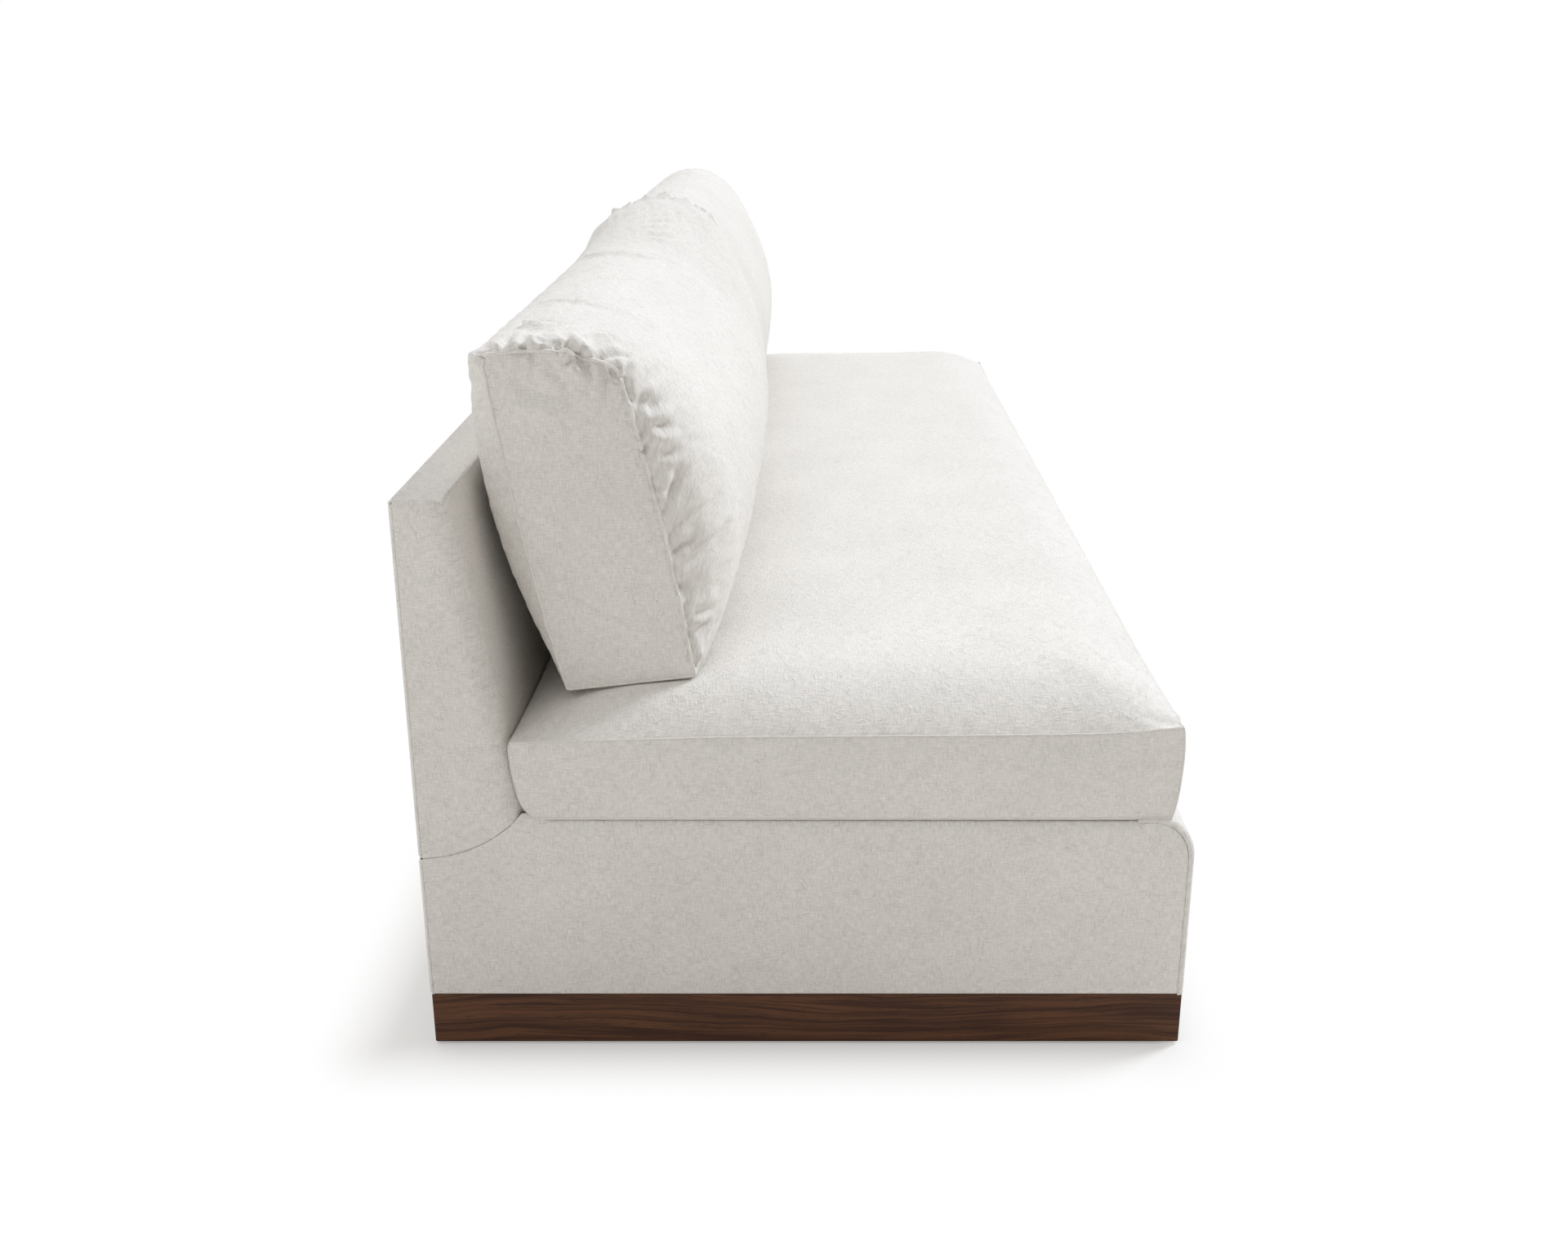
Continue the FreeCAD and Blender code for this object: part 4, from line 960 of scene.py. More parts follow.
@dataclass
class Plinth:
    """Four stained boards on glides."""

    edge: float = 0.0014
    boards: tuple[str, ...] = ("plinth_front_board", "plinth_rear_board", "plinth_left_board", "plinth_right_board")

    def build(self) -> None:
        """Make each board with eased edges and grain along its length."""
        for node in self.boards:
            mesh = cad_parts[node].data.copy()
            mesh.name = node.replace("plinth", "walnut")
            lengthwise = 0 if node in self.boards[:2] else 1
            self.ease_edges(mesh, lengthwise)
            dress(stand(mesh.name, mesh), Finish.WALNUT, Body.FRAME, [node])

    def ease_edges(self, mesh: bpy.types.Mesh, lengthwise: int) -> None:
        """Soften a board's arrises and lay its grain.

        Args:
            mesh: The board's mesh.
            lengthwise: Axis that the grain follows.
        """
        soft = bmesh.new()
        soft.from_mesh(mesh)
        bmesh.ops.remove_doubles(soft, verts=soft.verts, dist=1e-5)
        bmesh.ops.dissolve_limit(soft, angle_limit=0.02, verts=soft.verts, edges=soft.edges)
        sharp = [edge for edge in soft.edges
                 if edge.is_manifold and edge.calc_face_angle(0.0) > 0.6 and edge.calc_length() > 0.03]
        bmesh.ops.bevel(soft, geom=sharp, offset=self.edge, segments=2, profile=0.5, affect="EDGES")
        layer = soft.loops.layers.uv.get(CLOTH_MAP) or soft.loops.layers.uv.new(CLOTH_MAP)
        other = 1 - lengthwise
        for face in soft.faces:
            flat = abs(face.normal.z) > 0.7
            for loop in face.loops:
                place = loop.vert.co
                across = place[other] if flat else place.z + 0.31 * lengthwise
                loop[layer].uv = (place[lengthwise] + 0.7 * lengthwise, across)
            face.smooth = False
        soft.to_mesh(mesh)
        soft.free()


@dataclass
class Upholstery:
    """Tight linen over the base and the back."""

    half_length: float = 1.065
    front: float = -0.466
    rear: float = 0.466
    low: float = 0.072
    deck: float = 0.322
    roll: float = 0.060
    seam_drop: float = 0.060
    back_foot: float = 0.338
    back_brow: float = 0.402
    back_top: float = 0.712
    wrap: float = 0.008
    rear_wrap: float = 0.005
    inner_round: float = 0.024
    deck_round: float = 0.010
    end_sag: float = 0.0085
    tuck_in: float = 0.036
    seam_round: float = 0.003
    butt_round: float = 0.0008
    foot_round: float = 0.005
    roll_round: float = 0.002
    base_puff: float = 0.0015
    back_puff: float = 0.002
    brow: float = 0.004
    hem_short: float = 0.004
    hem_tuck: float = 0.0005
    roll_wrap: float = 0.0025
    sag_start: float = 0.006
    sag_fade: float = 0.025
    deck_lap: float = 0.018
    deck_fade: float = 0.022
    fill: float = 0.9

    def front_section(self) -> tuple[np.ndarray, np.ndarray, np.ndarray]:
        """The front cover from the plinth up and over the roll, to just under the seat cushion.

        Returns:
            Points as depth and height, and for each the radius at the ends and how far they sag.
        """
        centre = np.array([self.front + self.roll, self.deck - self.roll])
        turn = np.linspace(math.pi, math.pi / 2, 22)
        arc = centre + self.roll * np.stack([np.cos(turn), np.sin(turn)], -1)
        line = np.concatenate([[[self.front, self.low]], arc, [[centre[0] + 0.012, self.deck]]])
        line = resample(line, spacing(lengths(line)[-1], 0.008, (0.0, 0.002, 0.005)))
        over = eased((line[:, 0] - self.front - 0.018) / 0.046)
        return line, self.wrap + (self.roll_wrap - self.wrap) * over, self.end_sag * over

    def roll_line(self) -> np.ndarray:
        """The edge of the front cover on the end, as depth and height.

        Returns:
            Points of the edge.
        """
        line, wrap, sag = self.front_section()
        tangent = np.gradient(line, axis=0)
        tangent /= np.linalg.norm(tangent, axis=1, keepdims=True)
        edge = line - np.stack([-tangent[:, 1], tangent[:, 0]], -1) * wrap[:, None]
        edge[:, 1] -= sag
        edge[0, 1] = self.low
        return edge

    def seam_line(self, count: int = 24) -> np.ndarray:
        """The curved seam between the back's end and the base's end, from the rear edge forward.

        Args:
            count: Points on the seam.
        Returns:
            Points as depth and height.
        """
        run = self.rear - self.back_foot
        radius = (run ** 2 + self.seam_drop ** 2) / (2 * self.seam_drop)
        centre = np.array([self.rear, self.deck - self.seam_drop + radius])
        turn = np.linspace(-math.pi / 2, -math.pi / 2 - math.asin(run / radius), count)
        return centre + radius * np.stack([np.cos(turn), np.sin(turn)], -1)

    @staticmethod
    def gap_to(points: np.ndarray, line: np.ndarray) -> np.ndarray:
        """Distance from each point to a line.

        Args:
            points: Points as rows by columns by 2.
            line: Points of the line.
        Returns:
            Distances as rows by columns.
        """
        best = np.full(points.shape[:2], np.inf)
        for start, end in zip(line[:-1], line[1:]):
            along = end - start
            share = np.clip(((points - start) @ along) / max(along @ along, 1e-12), 0, 1)
            best = np.minimum(best, np.linalg.norm(points - start - share[..., None] * along, axis=-1))
        return best

    def end_panel(self, name: str, side: Side, borders: Sequence[np.ndarray],
                  rounds: Sequence[tuple[np.ndarray, float]], puff: float, step: float = 0.012) -> Sewn:
        """A tight panel on one end of the settee, turned in at its borders.

        Args:
            name: Piece name.
            side: Which end.
            borders: Low, last, high and first border lines.
            rounds: Lines where the panel turns in, each with its radius.
            puff: Height of the padding at the middle.
            step: Grid step.
        Returns:
            The panel.
        """
        low, last, high, first = borders
        across = spacing(lengths(low)[-1], step, FINE_EDGE)
        up = spacing(lengths(first)[-1], step, FINE_EDGE)
        flat = coons(resample(low, across), resample(high, across), resample(first, up), resample(last, up), across, up)
        sunk = np.zeros(flat.shape[:2])
        nearest = np.full(flat.shape[:2], np.inf)
        for line, radius in rounds:
            gap = self.gap_to(flat, line)
            inside = np.clip(1 - gap / radius, 0, 1)
            sunk = np.hypot(sunk, radius * (1 - np.sqrt(1 - inside ** 2)))
            nearest = np.minimum(nearest, gap)
        raised = puff * (1 - np.exp(-nearest / 0.05))
        x = side.value * (self.half_length - sunk + raised)
        points = np.concatenate([x[..., None], flat], -1)
        return sew(name, [Patch(points, flat)], Vector((side.value, 0, 0)))

    def swept(self, name: str, line: np.ndarray, wrap: float | np.ndarray, outward: Vector, step: float = 0.02,
              reach: float = 0.0, sag: float | np.ndarray = 0.0) -> Sewn:
        """A cover carried along the length and turned round both ends.

        Args:
            name: Piece name.
            line: Its section as depth and height.
            wrap: Radius at the ends, one for all or one for each point of the section.
            outward: Direction that it faces.
            step: Grid step along the length.
            reach: Distance that the ends stop short of the settee's ends.
            sag: How far it sinks at the ends, one for all or one for each point of the section.
        Returns:
            The cover.
        """
        tangent = np.gradient(line, axis=0)
        tangent /= np.linalg.norm(tangent, axis=1, keepdims=True)
        normal = np.stack([tangent[:, 1], -tangent[:, 0]], -1)
        if (normal @ np.array([outward.y, outward.z])).sum() < 0:
            normal = -normal
        end = self.half_length - reach
        radius = np.broadcast_to(np.asarray(wrap, float), len(line))[:, None]
        turn = np.linspace(math.pi / 2, 0, 8)
        bend_x = end - radius * (1 - np.sin(turn))
        bend_in = radius * (1 - np.cos(turn))
        middle = np.linspace(1, -1, int(2 * end / step))[1:-1] * (end - radius)
        hem_x, hem_in = np.full_like(radius, end - self.hem_short), radius + self.hem_tuck
        xs = np.concatenate([hem_x, bend_x, middle, -bend_x[:, ::-1], -hem_x], 1)
        insets = np.concatenate([hem_in, bend_in, np.zeros_like(middle), bend_in[:, ::-1], hem_in], 1)
        points = np.empty(xs.shape + (3,))
        points[..., 0] = xs
        points[..., 1:] = line[:, None] - normal[:, None] * insets[..., None]
        sunk = np.broadcast_to(np.asarray(sag, float), len(line))[:, None]
        inward = np.maximum(end - self.sag_start - np.abs(xs), 0)
        points[..., 2] -= sunk * np.exp(-(inward / self.sag_fade) ** 2)
        run = lengths(np.stack([xs, insets], -1))
        cloth = np.stack([run, np.broadcast_to(lengths(line)[:, None], run.shape)], -1)
        return sew(name, [Patch(points, cloth)], outward)

    def cover(self, sewn: Sewn, nodes: Sequence[str] = ()) -> None:
        """Dress a tight cover and hide the nodes that it stands for, its padding among them."""
        dress(sewn.piece, Finish.TIGHT_LINEN, Body.FRAME, nodes)

    def build(self) -> None:
        """Make and dress every tight cover."""
        for side in Side:
            self.build_base_end(side)
            self.build_back_end(side)
        self.build_front()
        self.build_back()
        self.build_rear()
        self.build_deck()

    def build_base_end(self, side: Side) -> None:
        """The end of the base, from the plinth to the deck.

        Args:
            side: Which end.
        """
        seam = self.seam_line()
        roll = self.roll_line()
        low = np.array([[self.rear - self.rear_wrap, self.low], [self.front + self.wrap, self.low]])
        seam[0, 0] -= self.rear_wrap
        top = np.array([seam[-1], [seam[-1, 0] - 0.03, self.deck - self.end_sag - 0.001], roll[-1]])
        first = np.array([low[0], seam[0]])
        rounds = ((low, self.foot_round), (roll, self.roll_round), (seam, self.seam_round), (first, self.butt_round),
                  (top, self.deck_round))
        high = np.concatenate([seam, top[1:]])
        panel = self.end_panel(f"{side.word}_base_panel", side, (low, roll, high, first), rounds, self.base_puff)
        self.cover(panel, [f"base_{side.word}_cover", f"base_{side.word}_wadding"])

    def build_back_end(self, side: Side) -> None:
        """The end of the back, above the curved seam.

        Args:
            side: Which end.
        """
        seam = self.seam_line()
        seam[0, 0] -= self.rear_wrap
        inner = np.array([[self.back_foot, self.deck], [self.back_brow, self.back_top]])
        high = np.array([[self.rear - self.rear_wrap, self.back_top], [self.back_brow, self.back_top]])
        first = np.array([seam[0], high[0]])
        rounds = ((seam, self.seam_round), (inner, self.inner_round), (high, self.seam_round), (first, self.butt_round))
        borders = (seam, inner, high, first)
        panel = self.end_panel(f"{side.word}_back_panel", side, borders, rounds, self.back_puff, 0.008)
        self.cover(panel, [f"back_{side.word}_cover", f"back_{side.word}_wadding"])

    def build_front(self) -> None:
        """The front of the base, rolled back over its top edge."""
        line, wrap, sag = self.front_section()
        panel = self.swept("base_front_panel", line, wrap, Vector((0, -1, 0.4)), sag=sag)
        self.cover(panel, ["base_front_cover", "front_edge_foam"])

    def build_back(self) -> None:
        """The inside of the back and its top."""
        brow, foot = np.array([self.back_brow, self.back_top]), np.array([self.back_foot, self.deck])
        inside = np.array([foot - (brow - foot) * self.tuck_in, brow])
        shares = spacing(lengths(inside)[-1], 0.012, FINE_EDGE)
        panel = self.swept("back_inside_panel", resample(inside, shares), 0.004, Vector((0, -1, 0.2)),
                           reach=self.inner_round * 0.7)
        self.cover(panel, ["back_inside_cover", "back_foam", "back_top_pad", "back_webbing"])
        edge = self.back_top - self.brow
        top = np.array([[self.back_brow + 0.001, edge], [self.back_brow + self.brow, self.back_top],
                        [self.rear - self.brow, self.back_top], [self.rear, edge]])
        shares = spacing(lengths(top)[-1], 0.008, FINE_HEM)
        self.cover(self.swept("back_top_panel", resample(top, shares), self.seam_round, Vector((0, 0, 1))))

    def build_rear(self) -> None:
        """The outside of the back and the rear of the base."""
        split = self.deck - self.seam_drop
        for name, low, high, nodes in (
            ("base_rear_panel", self.low, split, ["base_rear_cover"]),
            ("back_outside_panel", split, self.back_top - self.brow, ["back_outside_cover", "rear_wadding_sheet"]),
        ):
            line = np.array([[self.rear - 0.002, low], [self.rear, low + self.brow],
                             [self.rear, high - self.brow], [self.rear - 0.002, high]])
            shares = spacing(lengths(line)[-1], 0.015, FINE_HEM)
            self.cover(self.swept(name, resample(line, shares), self.rear_wrap, Vector((0, 1, 0))), nodes)

    def build_deck(self) -> None:
        """The cloth that the seat cushion lies on."""
        reach = self.half_length - self.deck_round + self.hem_tuck
        even = np.linspace(-1, 1, 121)
        across = np.sign(even) * reach * (1 - (1 - np.abs(even)) ** 1.6)
        along = np.linspace(self.front + self.roll + 0.010, self.back_foot + self.deck_lap, 38)
        x, y = np.meshgrid(across, along)
        sunk = (self.end_sag + 0.002) * np.exp(-(np.maximum(reach - np.abs(x), 0) / self.deck_fade) ** 2)
        sunk *= np.clip((self.back_foot - y) / 0.03, 0, 1)
        z = self.deck - 0.0004 - sunk
        flat = np.stack([x, y], -1)
        deck = sew("deck_panel", [Patch(np.stack([x, y, z], -1), flat)], Vector((0, 0, 1)))
        self.cover(deck, ["deck_cover", "deck_pad", "spring_insulator"])


def closed_casing(name: str, xs: np.ndarray, rings: np.ndarray, share_w: np.ndarray, share_h: np.ndarray,
                  bulge: float) -> Sewn:
    """A closed casing from cross-sections and two end panels.

    Args:
        name: Piece name.
        xs: Place of each section along the length.
        rings: Sections by points by depth and height; foot, rear, top, front in turn.
        share_w: Shares across the foot and the top. share_h: Shares up the rear and the front.
        bulge: How far the end panels stand out at their middle.
    Returns:
        The casing; grid 0 is the body, grids 1 and 2 its end panels.
    """
    wide, high = len(share_w) - 1, len(share_h) - 1
    closed = np.concatenate([rings, rings[:, :1]], 1)
    body = np.concatenate([np.broadcast_to(xs[:, None, None], closed.shape[:2] + (1,)), closed], -1)
    run = lengths(closed)
    cloth = np.stack([np.broadcast_to(xs[:, None], run.shape), run], -1)
    patches = [Patch(body, cloth)]
    for x, ring in ((xs[0], closed[0]), (xs[-1], closed[-1])):
        foot = ring[:wide + 1]
        rear = ring[wide:wide + high + 1]
        top = ring[wide + high:2 * wide + high + 1][::-1]
        front = ring[2 * wide + high:][::-1]
        flat = coons(foot, top, front, rear, share_w, share_h)
        dome = (16 * (share_w * (1 - share_w))[None] * (share_h * (1 - share_h))[:, None]) ** 0.5
        out = x + math.copysign(bulge, x - xs.mean()) * dome
        patches.append(Patch(np.concatenate([out[..., None], flat], -1), flat))
    return sew(name, patches)


@dataclass
class SeatCushion:
    """The bench cushion: crowned top, boxing and sewn seams."""

    half_length: float = 1.060
    front: float = -0.440
    foot_tuck: float = 0.006
    deck: float = 0.322
    low: float = 0.3228
    droop: float = 0.009
    crown: float = 0.054
    end_shoulder: float = 0.105
    front_shoulder: float = 0.120
    rear_shoulder: float = 0.240
    bulge: float = 0.006
    cell: float = 0.015
    groove: float = 0.0011
    fill: float = 0.8
    cords: tuple[float, float, float] = (0.0011, 0.0018, 0.0009)
    foot_front: float = 0.130
    foot_height: float = 0.4655
    foot_slope: float = -0.095
    foot_reach: float = 0.985
    foot_fade: float = 0.035
    end_fade: float = 0.12
    depth: float = 0.79
    boxing: float = 0.11
    puckers: int = 16
    rear_seam: float = 0.352
    rear_foot: float = 0.335
    rear_rake: float = 64.0 / 390.0
    corner_tuck: float = 0.010
    corner_puff: float = 0.75
    middle_depths: tuple[float, ...] = (-0.44, 0.20, 0.352)
    middle_heights: tuple[float, ...] = (0.4315, 0.4200, 0.4000)
    edge_depths: tuple[float, ...] = (-0.44, -0.385, -0.33, -0.22, 0.10, 0.352)
    end_heights: tuple[float, ...] = (0.4330, 0.4270, 0.4238, 0.4224, 0.4202, 0.4125)
    filling: Filling = Filling(pressure=3.0, frames=12, ease=0.05, cap=0.007, unevenness=0.0006)

    def shares(self) -> tuple[np.ndarray, np.ndarray]:
        """Shares across the top and up the boxing."""
        return spacing(self.depth, self.cell, FINE_BOXING), spacing(self.boxing, 0.010, FINE_BOXING[:5])

    def rear_at(self, height: np.ndarray) -> np.ndarray:
        """Depth of the rear boxing at a height."""
        return self.rear_foot + (height - self.deck) * self.rear_rake

    def seam_at(self, x: np.ndarray, y: np.ndarray) -> np.ndarray:
        """Height of the top seam, or of the line that it would make across the cushion.

        Args:
            x: Places along the length. y: Places in depth.
        Returns:
            Heights.
        """
        middle = np.interp(y, self.middle_depths, self.middle_heights)
        end = np.interp(y, self.edge_depths, self.end_heights)
        return middle + (end - middle) * np.exp(-(self.half_length - np.abs(x)) / self.end_fade)

    def top_at(self, x: np.ndarray, y: np.ndarray) -> np.ndarray:
        """Height of the top, crowned and pressed in under the back cushions.

        Args:
            x: Places along the length. y: Places in depth.
        Returns:
            Heights.
        """
        end = np.clip((self.half_length - np.abs(x)) / self.end_shoulder, 0, 1)
        front = np.clip((y - self.front) / self.front_shoulder, 0, 1)
        back = np.clip((self.rear_seam - y) / self.rear_shoulder, 0, 1)
        shares = [1 - (1 - share) ** 2.2 for share in (end, front, back)]
        height = self.seam_at(x, y) + self.crown * shares[0] * shares[1] * shares[2]
        foot = self.foot_height + (y - self.foot_front) * self.foot_slope - 0.001
        off = np.hypot(np.maximum(np.abs(x) - self.foot_reach, 0), np.maximum(self.foot_front + 0.006 - y, 0))
        return height - np.maximum(height - foot, 0) * np.exp(-(off / self.foot_fade) ** 1.5)

    def build(self) -> None:
        """Make, fill and dress the cushion."""
        sewn = self.casing()
        seams = self.seams(sewn)
        self.filling.swell(sewn, *self.slack(sewn, seams), seed=11)
        sewn.refine()
        self.pucker(sewn)
        open_placket(sewn, "seat_cushion_zip", 1, 1)
        places, normals = sewn.read(), sewn.normals()
        numbers = np.unique(np.concatenate([line for line, _ in seams.values()]))
        lines = {word: places[line] + normals[line] * 0.0002 for word, (line, _) in seams.items()}
        places[numbers] -= normals[numbers] * self.groove
        sewn.write(places)
        dress(sewn.piece, Finish.SEAT_LINEN, Body.SEAT, ["seat_cushion_cover", "seat_cushion_filling"])
        for word, (_, radius) in seams.items():
            closed = word in ("top", "foot")
            cord = tube(f"bench_cushion_{word}_seam", lines[word], radius, closed, 6)
            dress(cord, Finish.CORD_LINEN, Body.SEAT)

    def seams(self, sewn: Sewn) -> dict[str, tuple[np.ndarray, float]]:
        """The sewn lines.

        Args:
            sewn: The casing.
        Returns:
            Vertex numbers and cord radius of each line.
        """
        share_w, share_h = self.shares()
        wide, high = len(share_w) - 1, len(share_h) - 1
        body = sewn.grids[0]
        rear, crest, brow = wide, wide + high, 2 * wide + high
        top = (body[0, crest:brow], body[:-1, brow], body[-1, brow:crest:-1], body[:0:-1, crest])
        foot = (body[0, rear:0:-1], body[:-1, 0], body[-1, :rear], body[:0:-1, rear])
        top_cord, foot_cord, corner_cord = self.cords
        found = {"top": (np.concatenate(top), top_cord), "foot": (np.concatenate(foot), foot_cord)}
        for word, row in (("left", 0), ("right", -1)):
            found[f"{word}_front"] = (body[row, brow:][1:-1], corner_cord)
            found[f"{word}_rear"] = (body[row, rear:crest + 1][1:-1], corner_cord)
        return found

    def slack(self, sewn: Sewn, seams: dict[str, tuple[np.ndarray, float]]) -> tuple[np.ndarray, np.ndarray]:
        """Where extra cloth is gathered, and where the casing keeps its place.

        Args:
            sewn: The casing. seams: Its sewn lines.
        Returns:
            Ease and hold of every vertex.
        """
        places = sewn.read()
        inward = np.minimum(self.half_length - np.abs(places[:, 0]), np.minimum(places[:, 1] - self.front, 0.2))
        ease = np.exp(-np.maximum(inward, 0) / 0.04)
        hold = np.where(places[:, 2] < self.low + 0.02, 0.9, 0.12)
        under = (places[:, 1] > self.foot_front - 0.02) & (np.abs(places[:, 0]) < 1.0)
        hold[under] = 0.8
        for line, _ in seams.values():
            hold[line] = 0.92
        return ease, hold

    def pucker(self, sewn: Sewn) -> None:
        """Press small puckers into the top at its corners and along its end seams.

        Args:
            sewn: The filled casing.
        """
        tree, dice = sewn.surface(), np.random.default_rng(21)
        folds = []
        for side in Side:
            corner = np.array([side.value * self.half_length, self.front, 0.433])
            for turn in (0.35, 0.75, 1.15):
                aim = np.array([-side.value * math.cos(turn), math.sin(turn), 0.3])
                folds.append(Fold(walk(tree, corner + aim * 0.004, aim, 0.05 + 0.02 * turn), 0.0022, 0.006, 0.8, 0.2))
            for _ in range(self.puckers):
                start = np.array([side.value * self.half_length, dice.uniform(-0.40, 0.1), 0.424])
                aim = np.array([-side.value, dice.normal(0, 0.5), 0.4])
                line = walk(tree, start, aim, dice.uniform(0.015, 0.045))
                folds.append(Fold(line, dice.uniform(0.0004, 0.0012), 0.005, 0.7, 0.2))
        press_folds(sewn, folds)

    def casing(self) -> Sewn:
        """The closed casing before it is filled.

        Returns:
            The casing.
        """
        share_w, share_h = self.shares()
        xs = (2 * spacing(2 * self.half_length, self.cell, FINE_BOXING) - 1) * self.half_length
        puff = self.bulge * (4 * share_h * (1 - share_h)) ** 0.6
        rings = []
        for x in xs:
            inward = self.half_length - abs(x)
            near = min(1.0, inward / 0.25)
            front = self.front + 0.006 * (1 - (1 - near) ** 2)
            low = self.low - self.droop * math.exp(-(inward / 0.012) ** 1.5)
            brow, crest = (float(self.seam_at(np.array(x), np.array(y))) for y in (self.front, self.rear_seam))
            corner = math.exp(-(inward / 0.02) ** 2)
            tuck = self.corner_tuck * corner * np.clip(1 - share_h / 0.22, 0, 1) ** 2
            bottom_y = np.interp(share_w, [0, 1], [front + self.foot_tuck, self.rear_at(self.low) - 0.001 - tuck[0]])
            bottom = np.stack([bottom_y, np.full_like(bottom_y, low)], -1)
            z = low + share_h * (crest - low)
            rear = np.stack([self.rear_at(z) - 0.001 + (0.2 + self.corner_puff * corner) * puff - tuck, z], -1)
            y = np.interp(share_w, [0, 1], [rear[-1, 0], front])
            top = np.stack([y, self.top_at(np.full_like(y, x), y)], -1)
            top[0], top[-1] = rear[-1], (front, brow)
            z = brow + share_h * (low - brow)
            face = np.stack([front + share_h * self.foot_tuck - puff, z], -1)
            rings.append(np.concatenate([bottom[:-1], rear[:-1], top[:-1], face[:-1]]))
        return closed_casing("bench_cushion", xs, np.array(rings), share_w, share_h, self.bulge)


@dataclass(frozen=True)
class Station:
    """One cross-section of a back cushion: its four corners as depth and height, and its bows."""

    place: float
    front_foot: tuple[float, float]
    rear_foot: tuple[float, float]
    rear_top: tuple[float, float]
    front_top: tuple[float, float]
    rear_bow: float
    top_bow: float
    front_bow: float
    rounding: float

    def numbers(self) -> list[float]:
        """All its sizes in a row."""
        return [*self.front_foot, *self.rear_foot, *self.rear_top, *self.front_top,
                self.rear_bow, self.top_bow, self.front_bow, self.rounding]


NEAR_STATIONS = (
    Station(0.000, (0.134, 0.468), (0.289, 0.450), (0.366, 0.860), (0.213, 0.845), 0.006, 0.012, 0.005, 0.0),
    Station(0.012, (0.131, 0.467), (0.294, 0.450), (0.380, 0.858), (0.205, 0.850), 0.016, 0.020, 0.022, 0.12),
    Station(0.030, (0.128, 0.466), (0.296, 0.451), (0.392, 0.857), (0.198, 0.853), 0.027, 0.028, 0.044, 0.32),
    Station(0.090, (0.124, 0.466), (0.295, 0.451), (0.391, 0.858), (0.190, 0.855), 0.038, 0.030, 0.068, 0.65),
    Station(0.300, (0.123, 0.466), (0.289, 0.451), (0.387, 0.861), (0.188, 0.853), 0.050, 0.034, 0.084, 0.95),
    Station(0.700, (0.123, 0.466), (0.289, 0.451), (0.386, 0.862), (0.186, 0.862), 0.050, 0.034, 0.090, 0.95),
    Station(0.860, (0.124, 0.466), (0.289, 0.451), (0.380, 0.870), (0.178, 0.896), 0.048, 0.040, 0.080, 0.85),
    Station(0.960, (0.126, 0.466), (0.289, 0.451), (0.374, 0.892), (0.172, 0.922), 0.044, 0.036, 0.064, 0.5),
    Station(1.000, (0.130, 0.466), (0.288, 0.451), (0.360, 0.900), (0.174, 0.918), 0.028, 0.032, 0.042, 0.1),
)
FAR_STATIONS = (
    Station(0.000, (0.134, 0.466), (0.288, 0.451), (0.340, 0.880), (0.194, 0.880), 0.010, 0.034, 0.014, 0.0),
    Station(0.030, (0.131, 0.466), (0.289, 0.451), (0.350, 0.890), (0.188, 0.886), 0.026, 0.034, 0.036, 0.4),
    Station(0.090, (0.129, 0.466), (0.289, 0.451), (0.348, 0.898), (0.184, 0.892), 0.042, 0.034, 0.058, 0.8),
    Station(0.300, (0.128, 0.466), (0.289, 0.451), (0.346, 0.902), (0.182, 0.896), 0.050, 0.036, 0.072, 1.0),
    Station(0.700, (0.128, 0.466), (0.289, 0.451), (0.348, 0.902), (0.184, 0.896), 0.050, 0.036, 0.074, 1.0),
    Station(0.910, (0.129, 0.466), (0.289, 0.451), (0.356, 0.900), (0.194, 0.894), 0.044, 0.034, 0.064, 0.8),
    Station(0.970, (0.131, 0.466), (0.289, 0.451), (0.352, 0.892), (0.198, 0.888), 0.028, 0.034, 0.042, 0.4),
    Station(1.000, (0.134, 0.466), (0.288, 0.451), (0.342, 0.882), (0.204, 0.880), 0.012, 0.034, 0.018, 0.0),
)


